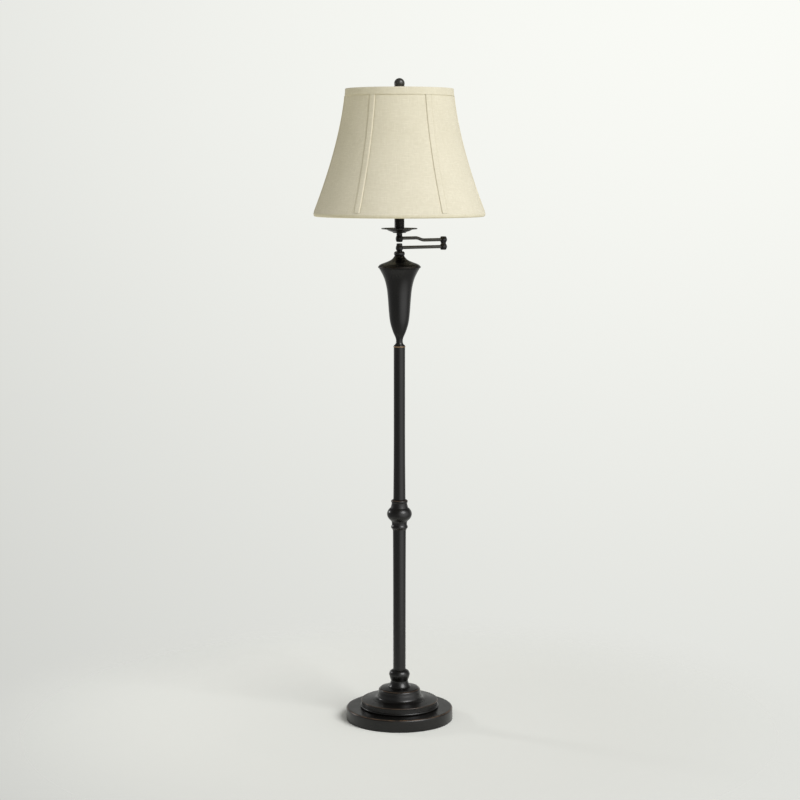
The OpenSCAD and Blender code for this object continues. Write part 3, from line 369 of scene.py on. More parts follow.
def casting(name):
    material, tree, shader = new_material(name)
    tone = spread(tree, noise(tree, 120, 6, 0.7), 0.3, 0.7)
    tree.links.new(mixed(tree, tone, (0.05, 0.048, 0.046), (0.13, 0.125, 0.12)),
                   shader.inputs["Base Color"])
    tree.links.new(spread(tree, noise(tree, 300, 4), 0.3, 0.7, 0.6, 0.85),
                   shader.inputs["Roughness"])
    bump(tree, shader, noise(tree, 500, 5, 0.7), 0.7, 0.0008)
    return material


RUBBED_EDGE = (0.16, 0.10, 0.062)
bronze = rubbed_bronze("rubbed_bronze", (0.0022, 0.0020, 0.0017), (0.0046, 0.0041, 0.0034),
                       RUBBED_EDGE)
# Lighter and shinier copy of the bronze for the arms and the finial: painted light, the brighter
# reflections that these parts catch put into their colour.
lit_bronze = rubbed_bronze("lit_bronze", (0.028, 0.0275, 0.023), (0.045, 0.044, 0.037),
                             RUBBED_EDGE, gloss=(0.28, 0.38), shine=0.55)
# Darker and duller copy of the bronze for the urn's lid, the candle hub and the candle tube:
# painted shade, for the shadow of the lamp shade that falls on them.
shaded_bronze = rubbed_bronze("shaded_bronze", (0.0014, 0.0013, 0.0011), (0.0034, 0.0030, 0.0025),
                            RUBBED_EDGE, gloss=(0.30, 0.42), shine=0.22)
copper = rubbed_bronze("copper_ring", (0.075, 0.048, 0.031), (0.15, 0.10, 0.062),
                       (0.36, 0.24, 0.145), wear=0.8)
brass = plain_metal("plain_brass", (0.50, 0.36, 0.15), (0.62, 0.46, 0.21), 0.30, (1, 1, 12))
zinc = plain_metal("zinc_plate", (0.42, 0.42, 0.40), (0.55, 0.54, 0.51), 0.36, (1, 1, 10))
wire_steel = plain_metal("frame_wire", (0.50, 0.49, 0.46), (0.62, 0.61, 0.58), 0.34, (1, 1, 6))
bulb_metal = plain_metal("bulb_metal", (0.62, 0.61, 0.59), (0.74, 0.73, 0.70), 0.26, (1, 1, 8))
black_plastic = plain_plastic("black_plastic", (0.010, 0.010, 0.010), (0.022, 0.021, 0.020), 0.38)
wire_jacket = plain_plastic("wire_jacket", (0.14, 0.10, 0.055), (0.22, 0.17, 0.10), 0.5)
fibre_card = plain_plastic("fibre_card", (0.42, 0.32, 0.20), (0.58, 0.46, 0.31), 0.8, 900)
glass = frosted_glass("frosted_glass")
black_felt = felt("black_felt")
iron = casting("cast_iron")
shade_linen = linen("shade_linen", (0.86, 0.82, 0.70), (0.62, 0.58, 0.455))
shade_lining = linen("shade_lining", (0.88, 0.86, 0.79), (0.78, 0.75, 0.67), 0.25, 0.0004)

CAD_FINISHES = {
    "cast_weight": iron, "plain_brass": brass, "zinc_steel": zinc, "black_plastic": black_plastic,
    "wire_jacket": wire_jacket, "liner_card": fibre_card, "bulb_glass": glass,
    "bulb_metal": bulb_metal, "frame_steel": wire_steel, "bronze_paint": bronze,
    "copper_edge": copper, "felt": black_felt, "shade_linen": shade_linen,
    "shade_lining": shade_lining,
}


def finish_cad_nodes():
    """Each CAD node takes the material of its slot in the record."""
    for part in frame["record"]["subparts"]:
        node = frame["nodes"][part["node"]]
        node.data.materials.clear()
        node.data.materials.append(CAD_FINISHES[part["material_slot"]])


# Base

def base_disc():
    """Large spun disc with a rounded top edge and a rolled foot."""
    low, top, r, wall, inner_r = foot("base_cover"), head("base_cover"), 129.4, 1.5, 84
    outline = [(inner_r, top - wall), (r - 5.2, top - wall), (r - wall - 0.4, top - 4.4),
               (r - wall, low + 3), (r - wall, low + 0.3), (r - wall + 0.2, low)]
    outline += arc(r - 0.3, low + 0.3, 0.3, -90, 0, 3)
    outline += [(r, low + 3), (r, top - 12)]
    outline += arc(r - 4.3, top - 4.3, 4.3, 0, 90, 10)
    outline += [(r - 8, top), (112, top), (98, top), (inner_r, top), (inner_r, top - wall)]
    piece = turned("base_disc", outline, steps=144)
    rub(piece, [(r - 2.0, top - 0.8)], 1.1)
    dress(piece, bronze, "stand", "bronze_paint", "base_cover")


def base_middle():
    """Middle tier: a small bead at its foot, an upright wall and a lipped rim."""
    low, top = foot("base_tier"), head("base_tier")
    bead_r, bead, wall_r, rim_r, rim_z = 92.2, 2.9, 91.5, 93.2, low + 17.9
    outline = [(84, low), (bead_r - 0.6, low)]
    outline += arc(bead_r, low + bead, bead, -80, 72, 12)
    outline += [(wall_r + 0.2, low + 2 * bead), (wall_r, low + 7.2), (wall_r, rim_z - 3)]
    outline += arc(rim_r - 1.5, rim_z - 1.5, 1.5, -35, 85, 8)
    outline += [(rim_r - 3, rim_z + 0.08), (80, rim_z + 0.6), (66.4, top - 0.1), (58, top)]
    outline += [(58, top - 2.2), (86, rim_z - 2.4), (86, low + 8), (84, low)]
    piece = turned("base_middle", outline, steps=144)
    rub(piece, [(rim_r - 0.5, rim_z - 0.3)], 0.7)
    dress(piece, bronze, "stand", "bronze_paint", "base_tier")


def base_top():
    """Small top tier: a hollow foot, a full belly and a rounded nose."""
    low, top = foot("base_crown"), head("base_crown")
    nose_r, nose = 50.5, 4.6
    nose_z = low + 0.709 * (top - low)
    outline = [(56, low), (65.6, low)]
    outline += flowing([(66, low + 0.2), (nose_r + 9.5, low + 1.1), (nose_r + 5, low + 3.2),
                        (nose_r + 3, low + 6.4), (nose_r + 2.3, low + 10),
                        (nose_r + 1.7, low + 13.4), (nose_r + 0.8, low + 16.3),
                        (nose_r + 0.1, low + 18.8)], 6)
    outline += arc(nose_r - nose, nose_z, nose, 0, 75, 10)
    outline += [(45.5, top - 2.2), (36, top - 0.9), (28.2, top), (26, top), (26, top - 3)]
    outline += [(42, low + 20), (47, low + 10), (55, low)]
    piece = turned("base_top", outline, steps=120)
    rub(piece, [(nose_r - 2.4, nose_z + 4.0)], 0.7)
    dress(piece, bronze, "stand", "bronze_paint", "base_crown")


def foot_vase():
    """Vase shaped collar that the lower pole stands in."""
    low, h, r = foot("foot_collar"), 42, 25.1
    top = low + h
    outline = [(15.5, low), (r + 2.6, low)]
    outline += flowing([
        (r + 2.7, low + 0.4), (r + 1.1, low + 0.05 * h), (r - 0.9, low + 0.12 * h),
        (r - 2.6, low + 0.2 * h), (r - 3.9, low + 0.28 * h), (r - 4.4, low + 0.35 * h),
        (r - 3.4, low + 0.44 * h),
        (r - 0.8, low + 0.62 * h), (r, low + 0.73 * h), (r - 0.9, low + 0.83 * h),
        (r - 3.4, low + 0.925 * h), (r - 7.2, low + 0.985 * h)], 6)
    outline += [(15.9, top), (15.35, top - 0.4), (15.35, top - 8), (15.5, low)]
    piece = turned("foot_vase", outline)
    dress(piece, bronze, "stand", "bronze_paint", "foot_collar")


# Poles and knuckle

def pole(name, node, r, end_r, flared_end):
    """Drawn tube that flares over its last 190 mm towards the knuckle."""
    low, top, wall, flare, socket, steps = foot(node), head(node), 1.2, 190, 12, 12
    widen = [(r + (end_r - r) * (1 - k / steps) ** 2, socket + flare * k / steps)
             for k in range(steps + 1)]
    side = [(end_r, 0)] + widen + [(r, top - low)]
    if flared_end == "top":
        side = [(radius, top - z) for radius, z in reversed(side)]
    else:
        side = [(radius, low + z) for radius, z in side]
    outline = [(r - wall, low)] + side + [(r - wall, top), (r - wall, low)]
    piece = turned(name, outline, steps=64)
    dress(piece, bronze, "stand", "bronze_paint", node)


def knuckle():
    """Turned knuckle: two collars with rolled lips either side of a flattened ball."""
    low, h = foot("knuckle"), 74.5
    top, mid = low + h, low + 0.524 * h
    neck, mouth, top_mouth = 18.35, 15.9, 14.8
    outline = [(mouth, low + 6), (mouth, low + 0.6), (mouth + 0.5, low)]
    outline += flowing([
        (mouth + 1.0, low + 0.6), (mouth + 1.2, low + 2.4), (neck + 0.9, low + 4.4),
        (neck + 1.9, low + 7.4), (neck + 1.1, low + 10.2), (neck + 0.05, low + 12.6),
        (neck, low + 16.5), (neck + 0.7, low + 20.2)], 5)
    outline += [(30 * math.cos(math.radians(a)), mid + 22 * math.sin(math.radians(a)))
                for a in range(-46, 44, 5)]
    outline += flowing([
        (neck + 3.0, top - 20.4), (neck + 1.6, top - 15.5), (neck + 0.7, top - 11.6),
        (neck + 0.4, top - 8.6), (neck + 1.5, top - 6.2), (neck + 1.7, top - 3.2),
        (neck - 0.4, top - 1.2), (top_mouth + 1.0, top)], 5)
    outline += [(top_mouth, top - 0.5), (top_mouth, top - 6), (mouth, low + 6)]
    piece = turned("knuckle_turned", outline)
    rub(piece, [(mouth + 1.2, low + 3.2), (neck + 0.6, top - 2.0)], 0.6)
    dress(piece, bronze, "stand", "bronze_paint", "knuckle")


def ring_on_pole():
    """Copper coloured ring between the pole and the urn."""
    low, top = foot("pole_ring"), head("pole_ring")
    half = (top - low) / 2
    outline = [(5, low), (13.0, low)]
    outline += arc(12.8, low + half, half * 0.98, -72, 72, 10)
    outline += [(12.6, top), (5, top), (5, low)]
    piece = turned("ring_on_pole", outline)
    rub(piece, [(14.5, low + half)], 1.6)
    dress(piece, copper, "stand", "copper_edge", "pole_ring")


# Urn

def urn_stem():
    low, h, r, drop = foot("urn_neck"), 13, 13.6, 5.6
    outline = [(5, low), (r - 0.6, low)]
    outline += flowing([
        (r, low + 0.06 * h), (r - 0.14 * drop, low + 0.15 * h), (r - 0.5 * drop, low + 0.27 * h),
        (r - 0.78 * drop, low + 0.45 * h), (r - 0.94 * drop, low + 0.65 * h),
        (8.0, low + h)], 6)
    outline += [(5, low + h), (5, low)]
    piece = turned("urn_stem", outline)
    dress(piece, bronze, "stand", "bronze_paint", "urn_neck")


def urn_body():
    """Tall trumpet of the urn, spun in one piece up to its mouth."""
    low, h, waist, mouth, wall = foot("urn"), 171, 8.0, 47.6, 1.5
    swell = [(0, 0), (0.041, 0.038), (0.112, 0.172), (0.196, 0.295), (0.28, 0.376),
             (0.41, 0.437), (0.585, 0.492), (0.725, 0.558), (0.836, 0.667), (0.92, 0.813), (1, 1)]
    side = flowing([(waist + s * (mouth - waist), low + t * h) for t, s in swell], 7)
    inside = [(r - wall, z) for r, z in side if z > low + 0.2 * h]
    outline = [(0, low)] + side + inside[::-1] + [(0, inside[0][1])]
    piece = turned("urn_body", outline)
    dress(piece, bronze, "stand", "bronze_paint", "urn")


def urn_lid():
    """Lid of the urn: a rolled lip that overhangs the mouth, sweeping up to the collar."""
    low, h, lip = foot("urn_cap"), 31, 50.9
    top = low + h
    outline = [(44, low + 0.2), (47.4, low)]
    outline += arc(lip - 2.7, low + 4.3, 2.7, -84, 72, 12)
    outline += flowing([
        (lip - 3.2, low + 0.285 * h), (lip - 5.4, low + 0.33 * h), (0.8 * lip, low + 0.4 * h),
        (0.55 * lip, low + 0.555 * h), (0.37 * lip, low + 0.71 * h), (0.28 * lip, low + 0.86 * h),
        (11.6, top)], 7)
    outline += [(5, top), (5, low + 18), (28, low + 12), (44, low + 4), (44, low + 0.2)]
    piece = turned("urn_lid", outline)
    rub(piece, [(lip - 0.2, low + 4.6)], 0.2)
    # The lid takes the darker copy of the bronze, with painted shade in its colour.
    dress(piece, shaded_bronze, "stand", "bronze_paint", "urn_cap")


def collar_on_lid():
    low, h, r = foot("check_ring"), 10.8, 13
    outline = [(5, low), (r - 1.8, low)]
    outline += flowing([
        (r - 1.4, low + 0.3), (r - 0.3, low + 0.28 * h), (r, low + 0.5 * h),
        (r - 0.6, low + 0.72 * h), (r - 2.8, low + 0.93 * h), (r - 5.4, low + h)], 6)
    outline += [(5, low + h), (5, low)]
    piece = turned("collar_on_lid", outline, steps=64)
    dress(piece, bronze, "stand", "bronze_paint", "check_ring")


# Swing arms

CAP_RISE = 1.8
ARM_TUBE_R = 4
ARM_TUBE_START = 6.3
ARM_TUBE_END = ARM_LENGTH - ARM_TUBE_START


def hub_profile(low, heights, radii):
    return flowing([(r, low + z) for r, z in zip(radii, heights)], 5)


def pole_hub():
    """Barrel hub that turns on the spindle above the urn."""
    low, h, neck, r = foot("pole_hub"), 16.3, 7.0, 8.95
    outline = [(4, low), (neck - 0.8, low)]
    outline += hub_profile(low, (0.2, 1, 3.5, 6.9, 9.3, 11.7, 13.6, h),
                           (neck - 0.4, neck, r - 0.75, r, r - 0.45, r - 1.25, neck + 0.1, neck))
    outline += [(4, low + h), (4, low)]
    piece = turned("hub_on_spindle", outline, steps=64)
    dress(piece, bronze, "lower_arm_body", "bronze_paint", "pole_hub")


def screw_cap(name, low, high, axis, body, *nodes):
    """Shallow domed cap with a slot round its edge, screwed into a hub from above or below."""
    way = 1 if high > low else -1
    t = abs(high - low)
    side = [(6.6, 0), (6.92, 0.12), (6.98, 0.35), (6.6, 0.6), (5.9, 0.78), (4.4, 0.92), (0, 1)]
    outline = [(0, low)] + [(r, low + way * t * z) for r, z in side]
    piece = turned(name, outline, axis, steps=64)
    dress(piece, bronze, body, "bronze_paint", *nodes)


def elbow_half(name, node, body, face, way):
    """One half of the elbow, from its joint face to its cap."""
    neck, r, depth = 7.0, 8.95, 14.2
    shape = [(neck - 0.8, 0.15), (neck - 0.5, 1.4), (r - 0.95, 4.4), (r - 0.12, 6.6), (r, 8.1),
             (r - 0.25, 9.9), (r - 0.95, 12), (neck + 0.1, 13.9), (neck - 0.1, depth)]
    outline = [(4, face), (neck - 1.1, face)]
    outline += flowing([(radius, face + way * z) for radius, z in shape], 5)
    outline += [(4, face + way * depth), (4, face)]
    piece = turned(name, outline, ELBOW_AXIS, steps=64)
    dress(piece, bronze, body, "bronze_paint", node)


def tube_along(name, points, r, sides=32):
    """A ring is set across the first point and extruded and turned from point to point."""
    first, second = Vector(points[0]) * MM, Vector(points[1]) * MM
    lean = math.atan2(second.z - first.z, second.x - first.x)
    bpy.ops.object.select_all(action="DESELECT")
    bpy.ops.mesh.primitive_circle_add(
        vertices=sides, radius=r * MM, fill_type="NGON", location=first,
        rotation=(0, math.pi / 2 - lean, 0))
    piece = bpy.context.object
    piece.name = piece.data.name = name
    bpy.ops.object.mode_set(mode="EDIT")
    bpy.ops.mesh.select_mode(type="FACE")
    bpy.ops.mesh.select_all(action="SELECT")
    for here, there in zip(points, points[1:]):
        step = (Vector(there) - Vector(here)) * MM
        bpy.ops.mesh.extrude_region_move(TRANSFORM_OT_translate={"value": step})
    bpy.ops.mesh.select_all(action="SELECT")
    bpy.ops.mesh.normals_make_consistent(inside=False)
    bpy.ops.object.mode_set(mode="OBJECT")
    take_to_origin(piece)
    smooth_faces(piece)
    return piece


def lower_arm():
    z = (foot("lower_arm") + head("lower_arm")) / 2
    points = [(x, 0, z) for x in (ARM_TUBE_START, 20, 100, ARM_TUBE_END)]
    piece = tube_along("lower_arm_tube", points, ARM_TUBE_R)
    # The arm takes the lighter copy of the bronze, with painted light in its colour.
    dress(piece, lit_bronze, "lower_arm_body", "bronze_paint", "lower_arm")


def upper_arm():
    """Tube with the flattened S that lifts the candle over the urn."""
    high, low = head("upper_arm") - ARM_TUBE_R, foot("upper_arm") + ARM_TUBE_R
    rise, run, start, steps = high - low, 23, 45, 12
    points = [(x, 0, high) for x in (ARM_TUBE_START, 25, 38)]
    for k in range(steps + 1):
        t = k / steps
        ease = t * t * (3 - 2 * t)
        points.append((start + run * t, 0, high - rise * ease))
    points += [(x, 0, low) for x in (76, 95, ARM_TUBE_END)]
    piece = tube_along("upper_arm_tube", points, ARM_TUBE_R)
    # The arm takes the lighter copy of the bronze, with painted light in its colour.
    dress(piece, lit_bronze, "upper_arm_body", "bronze_paint", "upper_arm")


# Candle

def candle_hub():
    low, h, neck, r = foot("candle_hub"), 18.5, 7.0, 8.95
    outline = [(0, low), (neck - 1.8, low)]
    outline += hub_profile(
        low, (0.1, 1, 3.5, 5.9, 8.3, 10.7, 12.9, 15.3, h),
        (neck - 1.4, neck + 0.2, r - 0.95, r - 0.2, r, r - 0.45, r - 1.15, neck - 0.2, neck))
    outline += [(0, low + h)]
    piece = turned("hub_under_candle", outline, steps=64)
    # The hub takes the darker copy of the bronze, with painted shade in its colour.
    dress(piece, shaded_bronze, "upper_arm_body", "bronze_paint", "candle_hub")


def drip_pan():
    """Shallow dish: a flat foot, a convex bowl and an upright lip round its thick rim."""
    low, h, r, foot_r = foot("drip_pan"), 14.4, 43, 6.8
    outline = [(4.9, low), (foot_r - 0.1, low)]
    outline += flowing([(foot_r, low + 0.2), (foot_r, low + 1.3), (foot_r + 0.8, low + 2.2),
                        (foot_r + 3.2, low + 2.8), (14.8, low + 3.1), (15.9, low + 4.3),
                        (17.2, low + 5.2), (21.6, low + 6.5), (26.8, low + 8.6),
                        (30.2, low + 10.7), (r - 6, low + h - 2.9), (r - 1.2, low + h - 2.5)], 6)
    outline += arc(r - 1.0, low + h - 1.5, 1.0, -80, 0, 5)
    outline += arc(r - 0.7, low + h - 0.7, 0.7, 0, 110, 6)
    outline += flowing([(r - 1.5, low + h - 0.6), (r - 1.9, low + h - 1.2),
                        (r - 6, low + h - 1.6), (29, low + 11.6), (25, low + 9.4),
                        (20, low + 7.5), (16.5, low + 6.9)], 6)
    outline += [(12.6, low + 5.5), (4.9, low + 5.5), (4.9, low)]
    piece = turned("drip_pan_spun", outline)
    dress(piece, bronze, "upper_arm_body", "bronze_paint", "drip_pan")


def candle_tube():
    low, top, r = foot("candle_sleeve"), head("candle_sleeve"), 11.65
    outline = [(r - 0.8, low), (r, low), (r, top - 1), (r - 0.2, top - 0.2), (r - 0.8, top)]
    outline += [(r - 0.8, low)]
    piece = turned("candle_tube", outline, steps=64)
    # The tube takes the darker copy of the bronze, with painted shade in its colour.
    dress(piece, shaded_bronze, "upper_arm_body", "bronze_paint", "candle_sleeve")


# Socket, bulb and switch

def socket():
    """Pressed brass cap and shell with beads rolled into them."""
    low, r = foot("socket_cap"), 17.2
    outline = [(5, low), (7.5, low), (7.6, low + 3)]
    outline += flowing([(8.3, low + 3.6), (13.8, low + 5.2), (16.6, low + 8), (r, low + 11.8)], 7)
    outline += [(r, low + 12.6), (r + 0.5, low + 13), (r + 0.5, low + 14), (r, low + 14.4)]
    outline += [(r - 0.8, low + 14.4), (r - 0.8, low + 11.4), (13, low + 6), (5, low + 4), (5, low)]
    cap = turned("socket_cap_pressed", outline, steps=72)
    dress(cap, brass, "upper_arm_body", "plain_brass", "socket_cap")

    low, top, r = foot("socket_shell"), head("socket_shell"), 16.3
    outline = [(r - 0.8, low), (r, low)]
    for bead in (0.30, 0.62, 0.9):
        z = low + bead * (top - low)
        outline += [(r, z - 1.4), (r + 0.45, z - 0.5), (r + 0.45, z + 0.5), (r, z + 1.4)]
    outline += [(r, top - 0.3), (r - 0.4, top), (r - 0.8, top - 0.3), (r - 0.8, low)]
    shell = turned("socket_shell_pressed", outline, steps=72)
    dress(shell, brass, "upper_arm_body", "plain_brass", "socket_shell")


def bulb():
    low, h, neck, r = foot("bulb_glass"), 83, 13.6, 30
    outline = [(neck - 0.8, low), (neck, low)]
    outline += flowing([
        (neck, low + 0.3), (neck + 1.3, low + 0.1 * h), (0.67 * r, low + 0.29 * h),
        (0.92 * r, low + 0.48 * h), (r, low + 0.65 * h), (0.91 * r, low + 0.82 * h),
        (0.58 * r, low + 0.95 * h), (0.2 * r, low + 0.995 * h), (0, low + h)], 6)
    piece = turned("bulb_envelope", outline, steps=72)
    dress(piece, glass, "upper_arm_body", "bulb_glass", "bulb_glass")


def knob():
    """Fluted switch knob with rounded ends on its short shaft."""
    near, far = (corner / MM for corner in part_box("switch_knob"))
    mid, r, length, flutes, shaft_r = (near.z + far.z) / 2, 5.5, 12, 12, 1.7
    bpy.ops.object.select_all(action="DESELECT")
    bpy.ops.mesh.primitive_cylinder_add(
        vertices=48, radius=r * MM, depth=length * MM,
        location=(0, (near.y + length / 2) * MM, mid * MM), rotation=(math.pi / 2, 0, 0))
    piece = bpy.context.object
    piece.name = piece.data.name = "knob_fluted"
    bpy.ops.object.transform_apply(location=True, rotation=True, scale=True)
    for vertex in piece.data.vertices:
        turn = math.atan2(vertex.co.x, vertex.co.z - mid * MM)
        flute = 1 - 0.055 * (1 + math.cos(flutes * turn))
        vertex.co.x *= flute
        vertex.co.z = mid * MM + (vertex.co.z - mid * MM) * flute
    edge = piece.modifiers.new("edge", "BEVEL")
    edge.width = 0.7 * MM
    edge.segments = 3
    edge.limit_method = "ANGLE"
    edge.angle_limit = math.radians(60)
    bpy.ops.object.modifier_apply(modifier="edge")
    bpy.ops.mesh.primitive_cylinder_add(
        vertices=24, radius=shaft_r * MM, depth=(far.y - near.y - length + 1) * MM,
        location=(0, (near.y + length - 1 + far.y) / 2 * MM, mid * MM),
        rotation=(math.pi / 2, 0, 0))
    bpy.ops.object.transform_apply(location=True, rotation=True, scale=True)
    bpy.context.object.select_set(True)
    piece.select_set(True)
    bpy.context.view_layer.objects.active = piece
    bpy.ops.object.join()
    smooth_faces(piece)
    dress(piece, black_plastic, "switch_body", "black_plastic", "switch_knob")


# Finial

def finial():
    """Ball on a beaded collar and a waisted foot."""
    low, top, r = foot("finial"), head("finial"), 12.5
    ball = top - r
    outline = [(3.3, low), (7.2, low), (7.4, low + 0.3), (7.4, low + 1.4), (7.0, low + 1.8)]
    outline += flowing([(6, low + 2.4), (5, low + 5.5), (5.8, low + 9), (9.3, ball - 9.6),
                        (12.8, ball - 8.2), (13.2, ball - 7.2), (12.5, ball - 6.3)], 5)
    outline += arc(0, ball, r, -26, 90, 22)
    piece = turned("finial_turned", outline + [(0, top)])
    rub(piece, [(13.1, ball - 7.2)], 0.6)
    # The finial takes the lighter copy of the bronze, with painted light in its colour.
    dress(piece, lit_bronze, "finial_body", "bronze_paint", "finial")


# Shade

SHADE_TOP_R = 127
SHADE_HEM_R = 203.1
SHADE_STRAIGHT = 0.1
SHADE_POWER = 1.56
HEM_ROLL = 4.2
PANELS = 6
FIRST_SEAM = math.radians(91)
PULL_IN = 1.0
TAPE_WIDTH = 13
TAPE_RISE = 1.8
CLOTH_INSET = 0.6
shade_top = head("top_band")
shade_low = foot("bottom_band")
skirt_z = shade_low + 1.75 * HEM_ROLL


def shade_radius(z):
    """Outer radius of the shade at a height, as its frame has it."""
    t = min(max((shade_top - z) / (shade_top - skirt_z), 0), 1)
    return SHADE_TOP_R + (SHADE_HEM_R - SHADE_TOP_R) * (
        SHADE_STRAIGHT * t + (1 - SHADE_STRAIGHT) * t ** SHADE_POWER)


def cloth_sheet(name, place, columns, rows, closed, uv, thickness):
    """A sheet whose vertices lie at place(u, v) over its own grid, given a thickness."""
    across = columns if closed else columns + 1
    points = [place(i / columns, j / rows) for j in range(rows + 1) for i in range(across)]
    faces = []
    for j in range(rows):
        for i in range(columns):
            right = (i + 1) % across
            faces.append((j * across + i, j * across + right,
                          (j + 1) * across + right, (j + 1) * across + i))
    mesh = bpy.data.meshes.new(name)
    mesh.from_pydata([tuple(c * MM for c in p) for p in points], [], faces)
    layer = mesh.uv_layers.new(name="cloth")
    for index, face in enumerate(mesh.polygons):
        i, j = index % columns, index // columns
        corners = ((i, j), (i + 1, j), (i + 1, j + 1), (i, j + 1))
        for loop, (a, b) in zip(face.loop_indices, corners):
            layer.data[loop].uv = uv(a / columns, b / rows)
    piece = bpy.data.objects.new(name, mesh)
    bpy.context.scene.collection.objects.link(piece)
    pick(piece)
    wall = piece.modifiers.new("wall", "SOLIDIFY")
    wall.thickness = thickness * MM
    wall.offset = -1
    bpy.ops.object.modifier_apply(modifier="wall")
    smooth_faces(piece, 45)
    return piece


def around(angle, r, z):
    """The point at a turn about the pole, a radius and a height."""
    return (r * math.cos(angle), r * math.sin(angle), z)


def panel_share(turn):
    """How far a point is from the nearest seam, from 0 on a seam to 1 in the middle of a panel."""
    part = (turn - FIRST_SEAM) / (2 * math.pi / PANELS) % 1
    return 1 - abs(2 * part - 1)


def shade_cloth():
    """The bell of cloth, drawn tight between the ribs and creased along each seam."""
    low, high = foot("shade_cover"), head("shade_cover")
    beside, middle = (0, 4, 5.9, 6.5, 7.0, 7.6, 8.6, 10.5, 15), 14
    crease_at, crease_width, crease_depth = 7.2, 1.1, 0.9
    half = len(beside) - 1 + middle // 2
    columns = PANELS * 2 * half

    def seam_gap(step, r):
        """Distance along the cloth from the last seam to a column, in millimetres."""
        panel = 2 * math.pi / PANELS * r
        from_end = min(step, 2 * half - step)
        if from_end < len(beside):
            gap = beside[from_end]
        else:
            gap = beside[-1] + (panel / 2 - beside[-1]) * (from_end - len(beside) + 1) * 2 / middle
        return gap if step <= half else panel - gap

    def place(u, v):
        step = round(u * columns)
        z = low + (high - low) * v
        r = shade_radius(z) - CLOTH_INSET
        gap = seam_gap(step % (2 * half), r)
        angle = FIRST_SEAM + 2 * math.pi / PANELS * (step // (2 * half)) + gap / r
        nearest = min(gap, 2 * math.pi / PANELS * r - gap)
        slack = PULL_IN * math.sin(math.pi * v) * math.sin(math.pi / 2 * panel_share(angle)) ** 2
        groove = crease_depth * math.exp(-((nearest - crease_at) / crease_width) ** 2)
        return around(angle, r - slack - groove, z)

    def uv(u, v):
        z = low + (high - low) * v
        r = shade_radius(z) - CLOTH_INSET
        step = round(u * columns) % (2 * half)
        across = seam_gap(step, r) if step or u < 1 else 2 * math.pi / PANELS * r
        return ((across - math.pi / PANELS * r) * MM, z * MM * 1.04)

    piece = cloth_sheet("shade_cloth", place, columns, 60, True, uv, 0.6)
    dress(piece, shade_linen, "shade_body", "shade_linen", "shade_cover")


def shade_inner():
    """Lining stretched inside the ribs."""
    low, high = foot("shade_liner"), head("shade_liner")

    def place(u, v):
        angle = FIRST_SEAM - 2 * math.pi * u
        z = low + (high - low) * v
        return around(angle, shade_radius(z) - 4.45, z)

    def uv(u, v):
        z = low + (high - low) * v
        return (-u * 2 * math.pi * shade_radius(z) * MM, z * MM)

    piece = cloth_sheet("shade_inner", place, PANELS * 16, 40, True, uv, 0.4)
    dress(piece, shade_lining, "shade_body", "shade_lining", "shade_liner")


def strip_round(name, outline, columns, node, first=(0, 0)):
    """A folded strip of cloth that runs right round the shade, along an outline in section.

    Its map starts at first, so that two strips don't show the same threads.
    """
    lengths = [0.0]
    for (r0, z0), (r1, z1) in zip(outline, outline[1:]):
        lengths.append(lengths[-1] + math.hypot(r1 - r0, z1 - z0))
    rows = len(outline) - 1

    def place(u, v):
        r, z = outline[round(v * rows)]
        return around(2 * math.pi * u, r, z)

    mean_r = sum(r for r, z in outline) / len(outline)

    def uv(u, v):
        return (2 * math.pi * mean_r * u * MM + first[0], lengths[round(v * rows)] * MM + first[1])

    piece = cloth_sheet(name, place, columns, rows, True, uv, 0.5)
    dress(piece, shade_linen, "shade_body", "shade_linen", node)


def top_binding():
    """Band folded over the top ring, with a turned-in lower edge."""
    low = shade_top - 17.5
    outline = [(shade_radius(low) - 0.7, low + 0.5), (shade_radius(low) - 0.25, low - 0.1)]
    outline += [(shade_radius(low) + 0.35, low + 0.1), (shade_radius(low + 1) + 0.6, low + 1.0)]
    outline += [(shade_radius(z) + 0.6, z) for z in (low + 3, low + 7, low + 11, low + 14.6)]
    outline += arc(SHADE_TOP_R - 0.9, shade_top - 1.5, 1.5, 10, 90, 5)
    outline += arc(SHADE_TOP_R - 3.0, shade_top - 1.5, 1.5, 95, 175, 5)
    outline += [(SHADE_TOP_R - 4.6, shade_top - 3.2)]
    strip_round("top_binding", outline, 192, "top_band")


def hem_binding():
    """Band rolled round the bottom ring, its upper edge turned in over the cloth."""
    roll_r, roll_z = SHADE_HEM_R - HEM_ROLL, shade_low + HEM_ROLL
    top = shade_low + 11
    outline = [(roll_r - HEM_ROLL + 0.4, roll_z + 4)]
    outline += arc(roll_r, roll_z, HEM_ROLL, 180, 360, 16)
    outline += [(shade_radius(z) + 0.45, z) for z in (roll_z + 2.4, roll_z + 4.4, top - 0.9)]
    outline += [(shade_radius(top) + 0.15, top - 0.1), (shade_radius(top) - 0.5, top - 0.2)]
    strip_round("hem_binding", outline, 240, "bottom_band", (0.3, 0.2))


